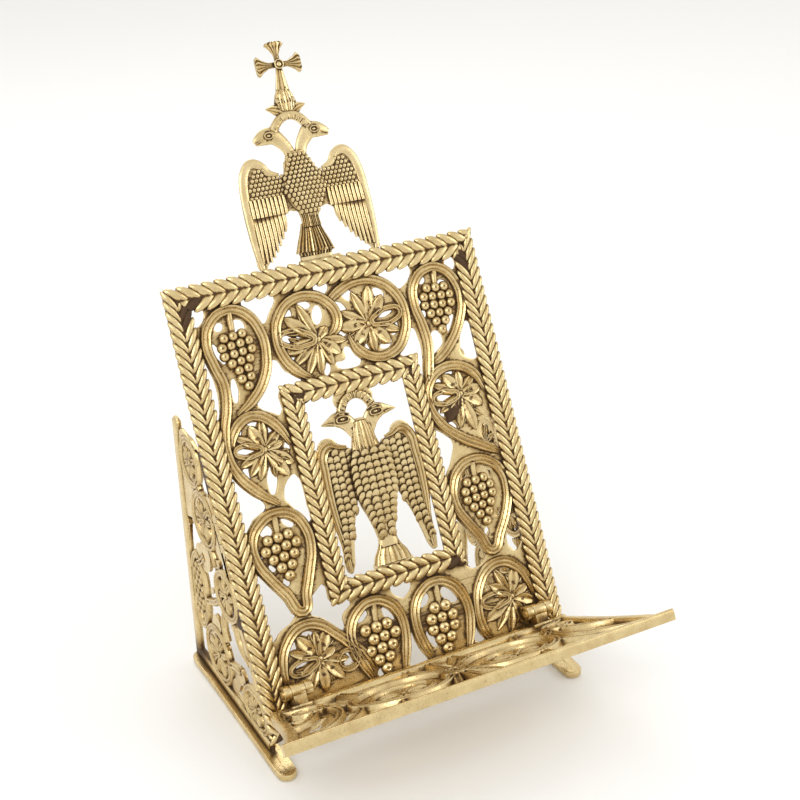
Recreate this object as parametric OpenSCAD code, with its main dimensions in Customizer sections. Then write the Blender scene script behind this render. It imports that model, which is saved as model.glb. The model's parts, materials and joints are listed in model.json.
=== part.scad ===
// Folding book stand in pierced cast brass: a leaning front panel with a double-headed eagle
// crest, two side wings that fold flat behind it, and a hinged ledge that holds the book.
// Millimetres. +X is the viewer's right, +Y is to the rear, +Z is up, and the floor is Z = 0.

/* [Front panel] */
// Width of the front panel
panel_w = 240; // [200:1:300]
// Height of the front panel, measured along its slope
panel_h = 314; // [256:1:380]
// Lean of the front panel back from upright, in degrees
panel_lean = 26; // [20:0.5:32]
// Height of the panel's lower front edge above the floor
panel_lift = 22; // [18:0.5:30]
// Width of the rope border round the panel
border_w = 16.5; // [12:0.5:20]
// Thickness of the rope borders
border_t = 7; // [5:0.5:9]
// Thickness of the vine work between the borders
vine_t = 5; // [3:0.5:7]
// Width of a vine stem
stem_w = 7; // [5:0.5:9]
// Width of the vine column at each side
side_field = 50; // [40:1:60]
// Height of the field of leaf rings above the inner frame
top_field = 64.5; // [50:0.5:80]
// Height of the field of grapes below the inner frame
bottom_field = 61.5; // [50:0.5:80]
// Width of the rope frame round the eagle
frame_w = 13.5; // [10:0.5:16]
// Radius of the two leaf rings in the lower corners
corner_ring_r = 28; // [24:1:30]
// Radius of one grape
grape_r = 4.2; // [3.6:0.1:4.6]

/* [Eagles] */
// Thickness of the eagle inside the frame
eagle_t = 4.5; // [3:0.5:6]
// Height of the crest above the panel
crest_h = 158.5; // [120:0.5:190]
// Span of the crest eagle's wings
crest_span = 97; // [80:1:120]
// Thickness of the crest
crest_t = 4.5; // [3:0.5:6]
// Width of the tang that holds the crest behind the top border
tang_w = 30; // [26:1:40]
// Length of the tang below the panel's top edge
tang_len = 14; // [12:0.5:16]
// Thickness of the tang
tang_t = 2.5; // [2:0.5:4]
// Distance between the two crest screws
screw_gap = 18; // [14:0.5:20]
// Radius of a crest screw's shank
screw_r = 1.5; // [1.2:0.1:2]

/* [Side wings] */
// Height of a wing's round rear bar above the floor
wing_h = 206; // [170:1:250]
// Depth of a wing on the floor, behind the panel's lower front edge
wing_d = 155; // [125:1:190]
// Thickness of a wing plate
wing_t = 5; // [4:0.5:6]
// Width of a wing's plain rear bar
rear_bar_w = 11; // [8:0.5:16]
// Height of the band along a wing's lower edge
foot_band_h = 7; // [5:0.5:12]
// Width of a foot bar
foot_w = 14; // [10:0.5:14]
// Thickness of a foot bar
foot_t = 5; // [4:0.5:7]
// How far a foot bar reaches in front of the panel's lower edge
foot_reach = 17; // [5:1:30]
// Radius of the tenons that hold a wing in its foot bar
tenon_r = 2; // [1.5:0.1:2.5]

/* [Wing hinges] */
// Radius of the hinge pins
pin_r = 1.5; // [1.2:0.1:2]
// Running clearance round every pin, screw and tenon
pin_gap = 0.05; // [0.03:0.01:0.1]
// Outer radius of a hinge knuckle
knuckle_r = 4; // [3.6:0.1:4.6]
// Gap between a knuckle and the face behind it
knuckle_gap = 1; // [0.6:0.1:1.5]
// Length of the wing's knuckle
knuckle_len = 14; // [10:0.5:20]
// Length of each lug on the panel
lug_len = 6; // [5:0.5:9]
// Gap between a lug and the knuckle beside it
lug_gap = 0.4; // [0.3:0.1:0.6]
// Height of the lower hinge up the slope
lower_hinge_s = 42; // [36:1:60]
// Height of the upper hinge up the slope
upper_hinge_s = 146; // [136:1:160]
// Radius of a pin's peened head
head_r = 2.6; // [2.4:0.1:3]
// Thickness of a pin's peened head
head_t = 1; // [0.6:0.1:1.5]
// Gap between a stop and the face that it bears on
stop_gap = 0.3; // [0.2:0.05:0.4]

/* [Book ledge] */
// Span of the ledge between its two front tips
ledge_span = 294; // [280:1:360]
// Depth of the ledge in front of the panel
ledge_d = 107; // [85:1:125]
// Thickness of the ledge's scroll work
ledge_t = 5; // [4:0.5:6]
// Height of the plain lip along the ledge's front
lip_h = 9; // [7:0.5:12]
// Thickness of the lip
lip_t = 4; // [3:0.5:6]
// Width of the ledge's rear bar
ledge_bar_w = 10; // [8:0.5:12]
// Height of the ledge's upper face up the panel's slope
ledge_s = 19; // [16:0.5:20]
// Height of the ledge hinge above the ledge's upper face
ledge_rise = 11; // [9:0.5:13]
// Distance of each ledge hinge from the centre
ledge_hinge_u = 97; // [80:1:97]
// Length of the ledge's knuckle
ledge_knuckle_len = 10; // [8:0.5:12]
// Length of each ledge lug on the panel
ledge_lug_len = 5; // [4:0.5:6]
// Outer radius of the ledge's knuckle
ledge_knuckle_r = 5; // [4.5:0.1:5.5]

/* [Hidden] */
$fn = 64;
brass = [0.78, 0.63, 0.34];
pale_brass = [0.84, 0.74, 0.52];
bore_r = pin_r + pin_gap;
// A cut runs this far past the face that it opens
over = 1;
// Pieces of one casting run this far into each other
bite = 0.5;

// Panel layout, measured from the panel's centre line and lower edge
half_w = panel_w / 2;
opening_w = panel_w - 2 * (border_w + side_field + frame_w);
opening_h = panel_h - 2 * (border_w + frame_w) - top_field - bottom_field;
frame_outer_w = opening_w + 2 * frame_w;
frame_outer_h = opening_h + 2 * frame_w;
frame_s = border_w + bottom_field;
opening_s = frame_s + frame_w;
column_u = half_w - border_w - side_field / 2;
column_r = side_field / 2 + bite;
top_ring_r = top_field / 2 + bite;
top_ring_u = frame_outer_w / 2 - top_ring_r + stem_w;
top_ring_s = panel_h - border_w - top_field / 2;
grape_ring_u = column_r - bite;
// The two scrolls of each column stand at these heights beside the inner frame
scroll_s = frame_s + frame_outer_h * 0.775;
bunch_s = frame_s + frame_outer_h * 0.325;
upper_bunch_s = panel_h - border_w - column_r + bite;
corner_s = border_w + corner_ring_r - bite;
lower_bunch_s = frame_s - column_r + bite;

// Wing hinge axis: its place across the stand and its depth behind the panel's front face
wing_u = half_w - knuckle_r;
wing_axis = border_t + knuckle_gap + knuckle_r;
wing_edge = wing_axis + knuckle_r + lug_gap;
wing_pin_len = knuckle_len + 2 * (lug_len + lug_gap);

// Ledge hinge axis: its height up the slope and its distance in front of the panel
ledge_axis_s = ledge_s + ledge_rise;
ledge_axis_w = knuckle_gap + ledge_knuckle_r;
ledge_pin_len = ledge_knuckle_len + 2 * (ledge_lug_len + lug_gap);
ledge_back_half = half_w - 2;

// The stand's origin is under the middle of its whole depth
depth_front = (ledge_s - ledge_t) * sin(panel_lean) - ledge_d * cos(panel_lean);
depth_back = (panel_h + crest_h) * sin(panel_lean) + (border_t + crest_t) / 2 * cos(panel_lean);
depth_mid = (depth_front + depth_back) / 2;

// Everything is modelled with the panel's lower front edge on Y = 0
module in_stand() {
    translate([0, -depth_mid, 0]) children();
}

// Panel frame: X across, Y up the slope, Z out of the panel's front face
module on_panel() {
    in_stand() translate([0, 0, panel_lift]) rotate([90 - panel_lean, 0, 0]) children();
}

// Wing frame: X is to the rear and Y is up, in the plane of a side wing
module in_wing_plane(side) {
    in_stand() translate([side * wing_u - wing_t / 2, 0, 0]) rotate([90, 0, 90])
        linear_extrude(wing_t) children();
}

// Ledge frame: X across, Y out from the panel's front face, Z up the slope. It is left-handed,
// and the ledge is the same on both sides of its centre line.
module on_ledge() {
    on_panel() translate([0, ledge_s, 0]) rotate([-90, 0, 0]) mirror([0, 1, 0]) children();
}

module stem(a, b, width) {
    run = b - a;
    translate(a) rotate(atan2(run[1], run[0])) translate([0, -width / 2])
        square([norm(run), width]);
}

module ring(centre, outer_r, width = stem_w) {
    translate(centre) difference() {
        circle(outer_r);
        circle(outer_r - width);
    }
}

// Five pointed lobes round one centre, as long as reach
module vine_leaf(centre, reach, turn = 0) {
    translate(centre) rotate(turn)
        polygon([for (i = [0 : 9]) (i % 2 == 0 ? reach : reach * 0.36) * [cos(36 * i), sin(36 * i)]]);
}

// A round body that runs down to a point
module drop(centre, radius, foot) {
    translate(centre) circle(radius);
    polygon([centre + radius * [-0.9, -0.36], foot, centre + radius * [0.9, -0.36]]);
}

// A drop-shaped ring of vine with a hanging bunch of grapes in it
module bunch(centre, outer_r, foot) {
    inner_r = outer_r - stem_w;
    bunch_w = 3.4 * grape_r;
    difference() {
        drop(centre, outer_r, foot);
        drop(centre, inner_r, foot + (centre - foot) * 2 * stem_w / norm(centre - foot));
    }
    translate(centre)
        polygon([[-bunch_w * 0.7, 2 * grape_r], [bunch_w * 0.7, 2 * grape_r], [bunch_w, 0],
            [grape_r, -bunch_w * 1.1], [-grape_r, -bunch_w * 1.1], [-bunch_w, 0]]);
    stem(centre + [0, grape_r], centre + [0, outer_r - stem_w / 2], stem_w * 0.6);
}

// A ring of vine with a leaf in it
module leaf_ring(centre, outer_r, turn) {
    ring(centre, outer_r);
    vine_leaf(centre, outer_r - stem_w / 2, turn);
}

module vine_column(side) {
    bunch([side * column_u, upper_bunch_s], column_r, [side * (column_u + 9), scroll_s + 18]);
    leaf_ring([side * column_u, scroll_s], column_r, 90);
    bunch([side * column_u, bunch_s], column_r, [side * column_u, corner_s + 20]);
    stem([side * column_u, scroll_s - column_r + bite],
        [side * column_u, bunch_s + column_r - bite], stem_w);
    leaf_ring([side * column_u, corner_s], corner_ring_r, 54);
}

module vine_work() {
    for (side = [-1, 1]) {
        vine_column(side);
        leaf_ring([side * top_ring_u, top_ring_s], top_ring_r, 90 + side * 20);
        bunch([side * grape_ring_u, lower_bunch_s], column_r,
            [side * grape_ring_u, border_w - bite]);
    }
}

module rope_frames() {
    difference() {
        translate([-half_w, 0]) square([panel_w, panel_h]);
        translate([border_w - half_w, border_w])
            square([panel_w - 2 * border_w, panel_h - 2 * border_w]);
    }
    translate([0, frame_s + frame_outer_h / 2]) difference() {
        square([frame_outer_w, frame_outer_h], center = true);
        square([opening_w, opening_h], center = true);
    }
}

// A lug reaches from a face out to a round end with the pin's bore through it, along Y
module lug(radius, rise, len) {
    translate([0, len / 2, 0]) rotate([90, 0, 0]) cylinder(r = radius, h = len);
    translate([-radius, -len / 2, 0]) cube([2 * radius, len, rise]);
}

module pin_bore(len) {
    translate([0, len / 2, 0]) rotate([90, 0, 0]) cylinder(r = bore_r, h = len);
}

module wing_hinge_at(side, s) {
    translate([side * wing_u, s, -wing_axis]) children();
}

module ledge_hinge_at(side) {
    translate([side * ledge_hinge_u, ledge_axis_s, ledge_axis_w]) rotate([0, 0, 90]) children();
}

module rear_lugs() {
    for (side = [-1, 1])
        for (s = [lower_hinge_s, upper_hinge_s])
            for (end = [-1, 1])
                wing_hinge_at(side, s + end * (knuckle_len + lug_len + 2 * lug_gap) / 2)
                    lug(knuckle_r, wing_axis - border_t + bite, lug_len);
}

module ledge_lugs() {
    for (side = [-1, 1])
        ledge_hinge_at(side)
            for (end = [-1, 1])
                translate([0, end * (ledge_knuckle_len + ledge_lug_len + 2 * lug_gap) / 2, 0])
                    mirror([0, 0, 1])
                        lug(ledge_knuckle_r, ledge_axis_w + border_t, ledge_lug_len);
}

module screw_at(side) {
    translate([side * screw_gap / 2, panel_h - tang_len / 2, -border_t - tang_t]) children();
}

module front_panel() {
    color(brass) on_panel() difference() {
        union() {
            translate([0, 0, -border_t]) linear_extrude(border_t) rope_frames();
            translate([0, 0, -border_t]) linear_extrude(vine_t) vine_work();
            rear_lugs();
            ledge_lugs();
        }
        for (side = [-1, 1]) {
            for (s = [lower_hinge_s, upper_hinge_s])
                wing_hinge_at(side, s) pin_bore(wing_pin_len + 2 * over);
            ledge_hinge_at(side) pin_bore(ledge_pin_len + 2 * over);
            screw_at(side) cylinder(r = screw_r + pin_gap, h = tang_t + border_t - 1.5);
        }
    }
}

// Outlines are drawn on a unit body and brought to size: X is half a span, Y is a height
function sized(points, w, h) = [for (p = points) [p[0] * w, p[1] * h]];
function mirrored(points) = concat(points, [for (i = [len(points) - 1 : -1 : 0])
    [-points[i][0], points[i][1]]]);

module centre_eagle_outline() {
    half = [[0.4, 0], [0.4, 0.07], [0.1, 0.24], [0.28, 0.36], [0.4, 0.46], [0.56, 0.44],
        [0.66, 0.22], [0.78, 0.03], [0.88, 0.04], [1, 0.3], [1, 0.62], [0.84, 0.76], [0.6, 0.8],
        [0.42, 0.72], [0.24, 0.74], [0.22, 0.78], [0.36, 0.81], [0.72, 0.86], [0.5, 0.91],
        [0.26, 0.93], [0.3, 0.98], [0.2, 1]];
    hole = [[0.05, 0.86], [0.16, 0.89], [0.14, 0.95]];
    difference() {
        polygon(sized(mirrored(half), opening_w / 2, opening_h));
        polygon(sized(mirrored(hole), opening_w / 2, opening_h));
    }
}

module centre_eagle() {
    color(pale_brass) on_panel() translate([0, opening_s, -(border_t + eagle_t) / 2])
        linear_extrude(eagle_t) centre_eagle_outline();
}

module crest_outline() {
    half = [[0.26, 0], [0.29, 0.05], [0.17, 0.15], [0.13, 0.21], [0.3, 0.25], [0.54, 0.19],
        [0.8, 0.07], [0.86, 0], [0.97, 0], [1, 0.35], [0.92, 0.46], [0.75, 0.5], [0.64, 0.49],
        [0.56, 0.43], [0.46, 0.395], [0.3, 0.39], [0.22, 0.41], [0.17, 0.47], [0.2, 0.52],
        [0.4, 0.545], [0.6, 0.555], [0.5, 0.6], [0.28, 0.625], [0.18, 0.67], [0.3, 0.72],
        [0.14, 0.735], [0.12, 0.77], [0.08, 0.8], [0.06, 0.87], [0.16, 0.885], [0.34, 0.85],
        [0.34, 0.935], [0.16, 0.905], [0.08, 0.915], [0.13, 1]];
    hole = [[0.02, 0.49], [0.2, 0.59], [0.1, 0.64]];
    difference() {
        polygon(sized(mirrored(half), crest_span / 2, crest_h));
        polygon(sized(mirrored(hole), crest_span / 2, crest_h));
    }
}

module crest_eagle() {
    front = (border_t - crest_t) / 2;
    color(pale_brass) on_panel() difference() {
        union() {
            translate([0, panel_h, -front - crest_t]) linear_extrude(crest_t) crest_outline();
            translate([-tang_w / 2, panel_h, -border_t - tang_t])
                cube([tang_w, tang_t, border_t + tang_t - front]);
            translate([-tang_w / 2, panel_h - tang_len, -border_t - tang_t])
                cube([tang_w, tang_len + tang_t, tang_t]);
        }
        for (side = [-1, 1])
            screw_at(side) translate([0, 0, -over])
                cylinder(r = screw_r + pin_gap, h = tang_t + 2 * over);
    }
}

module crest_screws() {
    screw_head_r = 2 * screw_r;
    screw_head_t = 1.2 * screw_r;
    color(brass) on_panel()
        for (side = [-1, 1])
            screw_at(side) {
                cylinder(r = screw_r, h = tang_t + border_t - 2.5);
                translate([0, 0, -screw_head_t]) difference() {
                    cylinder(r = screw_head_r, h = screw_head_t);
                    translate([-screw_head_r, -0.4, -over])
                        cube([2 * screw_head_r, 0.8, over + screw_head_t / 2]);
                }
            }
}

// A wing's front edge runs behind the panel: its distance to the rear at a height above the floor
function edge_y(z) = (wing_edge + (z - panel_lift) * sin(panel_lean)) / cos(panel_lean);

// A gap in the vine work: corners given across the wing, as a share of its depth there, and up
function across(share, z) = edge_y(z) + share * (wing_d - rear_bar_w - edge_y(z));
function gap_points(corners) = [for (c = corners) [across(c[0], c[1]), c[1]]];

// Gaps at the front edge keep clear of the knuckles; the others follow the wing's height
function hinge_z(s) = panel_lift + s * cos(panel_lean) - wing_axis * sin(panel_lean);
upper_gap_z = hinge_z(upper_hinge_s) + knuckle_len / 2 + 8;
middle_gap_z = hinge_z(upper_hinge_s) - knuckle_len / 2 - 7;
lower_gap_z = hinge_z(lower_hinge_s) + knuckle_len / 2 + 13;
WING_GAPS = [
    [[-0.2, wing_h * 0.98], [-0.2, upper_gap_z + 2], [0.1, upper_gap_z], [0.42, wing_h * 0.81],
        [0.3, wing_h * 0.86]],
    [[-0.2, middle_gap_z], [-0.2, middle_gap_z - 20], [0.14, middle_gap_z - 18],
        [0.12, middle_gap_z - 8]],
    [[0.42, wing_h * 0.54], [0.62, wing_h * 0.46], [0.86, wing_h * 0.55]],
    [[-0.1, lower_gap_z + 20], [0.14, lower_gap_z + 8], [0.03, lower_gap_z], [-0.1, lower_gap_z]],
    [[0.42, wing_h * 0.31], [0.66, wing_h * 0.33], [0.82, wing_h * 0.19], [0.68, wing_h * 0.19]],
    [[0.22, wing_h * 0.21], [0.36, wing_h * 0.2], [0.46, wing_h * 0.08], [0.38, wing_h * 0.08]],
    [[0.55, wing_h * 0.86], [0.66, wing_h * 0.92], [0.78, wing_h * 0.87], [0.66, wing_h * 0.82]],
    [[0.3, wing_h * 0.68], [0.44, wing_h * 0.73], [0.52, wing_h * 0.68], [0.4, wing_h * 0.62]],
    [[0.62, wing_h * 0.13], [0.74, wing_h * 0.14], [0.82, wing_h * 0.08], [0.66, wing_h * 0.07]],
];

module wing_outline() {
    shoulder_z = wing_h * 0.975;
    difference() {
        union() {
            polygon([[edge_y(foot_t), foot_t], [wing_d, foot_t], [wing_d, wing_h - rear_bar_w / 2],
                [wing_d - rear_bar_w, shoulder_z], [across(0, shoulder_z), shoulder_z]]);
            translate([wing_d - rear_bar_w / 2, wing_h - rear_bar_w / 2])
                circle(rear_bar_w / 2);
        }
        for (corners = WING_GAPS)
            polygon(gap_points(corners));
    }
}

function tenon_y(end) = end < 0 ? edge_y(0) + 10 : wing_d - rear_bar_w - 6;

module wing_knuckles(side) {
    for (s = [lower_hinge_s, upper_hinge_s])
        wing_hinge_at(side, s) {
            translate([0, knuckle_len / 2, 0]) rotate([90, 0, 0])
                cylinder(r = knuckle_r, h = knuckle_len);
            translate([-wing_t / 2, -knuckle_len / 2, -knuckle_r - lug_gap - bite * 2])
                cube([wing_t, knuckle_len, knuckle_r + lug_gap + bite * 2]);
            translate([side > 0 ? 0 : -knuckle_r, -knuckle_len / 2, 0])
                cube([knuckle_r, knuckle_len, knuckle_r + knuckle_gap - stop_gap]);
        }
}

module wing(side) {
    color(brass) {
        difference() {
            union() {
                in_wing_plane(side) wing_outline();
                on_panel() wing_knuckles(side);
                in_stand()
                    for (end = [-1, 1])
                        translate([side * wing_u, tenon_y(end), 0])
                            cylinder(r = tenon_r, h = foot_t + bite);
            }
            for (s = [lower_hinge_s, upper_hinge_s])
                on_panel() wing_hinge_at(side, s) pin_bore(knuckle_len + 2 * over);
        }
    }
}

module left_wing() {
    wing(-1);
}

module right_wing() {
    wing(1);
}

module foot_bar(side) {
    reach = foot_reach - foot_w / 2;
    color(brass) in_stand() translate([side * wing_u, 0, 0]) difference() {
        union() {
            translate([-foot_w / 2, -reach, 0]) cube([foot_w, reach + wing_d - foot_w / 2, foot_t]);
            for (y = [-reach, wing_d - foot_w / 2])
                translate([0, y, 0]) cylinder(r = foot_w / 2, h = foot_t);
        }
        for (end = [-1, 1])
            translate([0, tenon_y(end), -over])
                cylinder(r = tenon_r + pin_gap, h = foot_t + 2 * over);
    }
}

module left_foot_bar() {
    foot_bar(-1);
}

module right_foot_bar() {
    foot_bar(1);
}

// A pin along Y with a peened head at each end
module headed_pin(len) {
    translate([0, len / 2 + head_t, 0]) rotate([90, 0, 0]) cylinder(r = pin_r, h = len + 2 * head_t);
    for (y = [-len / 2, len / 2 + head_t])
        translate([0, y, 0]) rotate([90, 0, 0]) cylinder(r = head_r, h = head_t);
}

module wing_pin(side, s) {
    color(pale_brass) on_panel() wing_hinge_at(side, s)
        headed_pin(knuckle_len + 2 * (lug_len + lug_gap));
}

module left_lower_wing_pin() {
    wing_pin(-1, lower_hinge_s);
}

module left_upper_wing_pin() {
    wing_pin(-1, upper_hinge_s);
}

module right_lower_wing_pin() {
    wing_pin(1, lower_hinge_s);
}

module right_upper_wing_pin() {
    wing_pin(1, upper_hinge_s);
}

// Half of the ledge's plan, from the centre line to one tip; X is across and Y is out
module ledge_half_plan() {
    back = stop_gap;
    front = ledge_d;
    tip = ledge_span / 2;
    oval_w = tip * 0.48;
    oval_d = front * 0.6;
    oval_u = tip * 0.27;
    oval_y = front * 0.52;
    volute_r = front * 0.17;
    volute_u = ledge_back_half - volute_r;
    // Rear bar and front bar
    translate([0, back]) square([ledge_back_half, ledge_bar_w]);
    translate([0, front - ledge_bar_w * 0.7]) square([tip - ledge_bar_w, ledge_bar_w * 0.7 - bite]);
    // Horn from the rear corner out to the front tip
    polygon([[ledge_back_half - stem_w, back], [ledge_back_half, back],
        [ledge_back_half + 3, front * 0.35], [tip - 12, front * 0.7], [tip, front - 2],
        [tip - 1, front - bite], [tip - ledge_bar_w, front - bite], [tip - 20, front * 0.75],
        [ledge_back_half - 4, front * 0.42]]);
    // Oval scroll with a leaf in it, and the volute beside it
    intersection() {
        translate([oval_u - oval_w / 2, oval_y - oval_d / 2]) square([oval_w, oval_d]);
        difference() {
            translate([oval_u, oval_y]) circle(oval_w / 2);
            translate([oval_u, oval_y]) circle(oval_w / 2 - stem_w);
        }
    }
    for (y = [oval_y - oval_d / 2, oval_y + oval_d / 2 - stem_w])
        translate([oval_u - oval_w * 0.36, y]) square([oval_w * 0.72, stem_w]);
    vine_leaf([oval_u, oval_y], oval_d / 2, 90);
    ring([volute_u, back + ledge_bar_w + volute_r - bite * 4], volute_r);
    stem([volute_u - 4, ledge_bar_w + 2 * volute_r - 8], [oval_u + oval_w * 0.36, front - 12],
        stem_w);
    stem([oval_u, ledge_bar_w / 2], [oval_u, oval_y - oval_d / 2 + stem_w / 2], stem_w);
    stem([oval_u, oval_y + oval_d / 2 - stem_w / 2], [oval_u, front - 4], stem_w);
    stem([volute_u, ledge_bar_w + 2 * volute_r - 4], [ledge_back_half + 6, front * 0.62], stem_w);
    // Centre boss on its own stem
    stem([0, ledge_bar_w / 2], [0, front - 4], stem_w);
    translate([0, oval_y]) circle(stem_w * 1.2);
}

module book_ledge() {
    color(brass) on_ledge() difference() {
        union() {
            translate([0, 0, -ledge_t]) linear_extrude(ledge_t) {
                ledge_half_plan();
                mirror([1, 0]) ledge_half_plan();
            }
            translate([-ledge_span / 2 + 2, ledge_d - lip_t, -ledge_t])
                cube([ledge_span - 4, lip_t, lip_h]);
            for (side = [-1, 1])
                translate([side * ledge_hinge_u - ledge_knuckle_len / 2, 0, 0]) {
                    translate([0, ledge_axis_w, ledge_rise]) rotate([0, 90, 0])
                        cylinder(r = ledge_knuckle_r, h = ledge_knuckle_len);
                    translate([0, ledge_axis_w - ledge_knuckle_r + 1, -bite])
                        cube([ledge_knuckle_len, 2 * ledge_knuckle_r - 1, ledge_rise + bite]);
                }
        }
        translate([-half_w, ledge_axis_w, ledge_rise]) rotate([0, 90, 0])
            cylinder(r = bore_r, h = panel_w);
    }
}

module ledge_pin(side) {
    color(pale_brass) on_panel() ledge_hinge_at(side) headed_pin(ledge_pin_len);
}

module left_ledge_pin() {
    ledge_pin(-1);
}

module right_ledge_pin() {
    ledge_pin(1);
}

front_panel();
centre_eagle();
crest_eagle();
crest_screws();
left_wing();
right_wing();
left_foot_bar();
right_foot_bar();
left_lower_wing_pin();
left_upper_wing_pin();
right_lower_wing_pin();
right_upper_wing_pin();
book_ledge();
left_ledge_pin();
right_ledge_pin();
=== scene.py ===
"""Folding book stand in pierced cast brass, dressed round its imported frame.

Each casting is built in millimetres in its own flat frame, such as the leaning panel or the
plan of the ledge, and is then set in place in metres.
"""
import json
import logging
import math
from dataclasses import dataclass, field
from enum import Enum
from typing import Iterable, Sequence

import bpy
from mathutils import Matrix, Vector
from mathutils.bvhtree import BVHTree


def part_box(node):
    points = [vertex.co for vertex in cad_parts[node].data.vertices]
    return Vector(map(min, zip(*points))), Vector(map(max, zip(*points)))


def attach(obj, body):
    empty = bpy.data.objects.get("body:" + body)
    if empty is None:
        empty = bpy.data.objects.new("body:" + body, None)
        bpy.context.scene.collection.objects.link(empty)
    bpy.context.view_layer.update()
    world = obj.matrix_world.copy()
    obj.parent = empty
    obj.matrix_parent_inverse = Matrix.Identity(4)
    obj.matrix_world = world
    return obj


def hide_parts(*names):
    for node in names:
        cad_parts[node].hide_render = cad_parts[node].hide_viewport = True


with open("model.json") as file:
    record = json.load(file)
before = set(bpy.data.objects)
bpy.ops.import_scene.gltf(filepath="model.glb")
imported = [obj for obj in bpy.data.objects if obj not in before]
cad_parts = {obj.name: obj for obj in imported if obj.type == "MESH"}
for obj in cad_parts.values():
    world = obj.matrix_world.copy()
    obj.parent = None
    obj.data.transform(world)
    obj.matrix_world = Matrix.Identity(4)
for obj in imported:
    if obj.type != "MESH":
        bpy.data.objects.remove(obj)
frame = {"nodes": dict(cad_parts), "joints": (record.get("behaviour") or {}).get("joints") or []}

LOG = logging.getLogger("book_stand")
MM = 0.001
Knot = tuple[float, ...]
Colour = tuple[int, int, int]


@dataclass(frozen=True)
class Section:
    """Cross-section drawn along a path: domed and ridged on top, flat or the same below.

    Fields: half width, crown height, base depth, number of ridges, depth of the grooves between
    them, power of the dome (2 is round, 4 is flat-topped), and whether both faces are worked.
    """

    half: float
    crown: float
    base: float
    ridges: int = 1
    groove: float = 0.0
    power: int = 4
    both: bool = False

    def height(self, x: float) -> float:
        """Height of the upper face at a distance from the middle.

        Args:
            x: distance across the section, as a share of the half width.
        Returns:
            Height above the section's own centre line.
        """
        dome = self.crown * math.sqrt(max(0.0, 1 - abs(x) ** self.power))
        wave = self.groove * (0.5 + 0.5 * math.cos(math.pi * self.ridges * (x + 1)))
        return max(dome - wave, 0.0)

    def points(self) -> list[tuple[float, float]]:
        """Works out the outline of the section.

        Returns:
            Its points, once round.
        """
        steps = 5 * self.ridges + 3
        shares = [-math.cos(math.pi * i / steps) for i in range(steps + 1)]
        top = [(self.half * x, self.height(x)) for x in shares]
        if self.both:
            return top + [(x, -y - 0.01) for x, y in reversed(top)]
        return top + [(self.half * 0.96, -self.base), (-self.half * 0.96, -self.base)]


class Strand(Enum):
    """The cross-sections that the castings are drawn with, in millimetres."""

    VINE = Section(4.5, 2.9, 2.1, ridges=3, groove=1.1)
    STALK = Section(2.2, 2.0, 2.2, ridges=1, power=2)
    LOBE = Section(4.5, 2.5, 1.9, ridges=2, groove=1.5)
    LOBE_WIDE = Section(6.2, 2.6, 1.9, ridges=2, groove=1.7)
    TOOTH = Section(2.5, 2.1, 1.9, ridges=2, groove=1.2)
    LOOP = Section(2.3, 2.5, 1.9, ridges=2, groove=0.8)
    LOOP_WIDE = Section(2.6, 2.6, 1.9, ridges=2, groove=0.9)
    LOBE_SMALL = Section(3.2, 2.4, 0.0, ridges=2, groove=1.1, both=True)
    LOBE_LOW = Section(3.6, 2.6, 1.6, ridges=2, groove=1.2)
    LINE = Section(0.55, 0.9, 0.9, ridges=1, power=2)
    BOW = Section(3.2, 1.9, 2.2, ridges=1, power=4)
    FEATHER = Section(1.0, 0.8, 0.8, ridges=1, power=2)
    ARM = Section(1.0, 0.36, 0.34, ridges=5, groove=0.2, power=4)
    TRAY = Section(3.8, 3.5, 2.1, ridges=2, groove=2.0)
    HORN = Section(5.0, 3.8, 2.3, ridges=1, power=2)
    RAIL = Section(3.2, 1.2, 2.0, ridges=2, groove=1.1)
    LIMB = Section(1.0, 0.28, 0.25, ridges=1, power=2)
    NECK = Section(1.0, 0.34, 0.25, ridges=7, groove=0.1, power=2)
    FAN = Section(1.0, 0.24, 0.2, ridges=7, groove=0.1, power=4)
    TAIL = Section(1.0, 0.22, 0.2, ridges=11, groove=0.12, power=4)
    BAND = Section(1.0, 0.46, 0.4, ridges=3, groove=0.28, power=2)
    LIP = Section(2.0, 3.4, 4.4, ridges=1, power=4)
    BAR = Section(4.9, 4.6, 2.3, ridges=1, power=2)
    WING_VINE = Section(3.4, 2.4, 0.0, ridges=2, groove=1.1, both=True)
    WING_SILL = Section(3.8, 2.45, 0.0, ridges=1, both=True)
    WING_BAR = Section(5.4, 2.5, 0.0, ridges=1, both=True)


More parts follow.
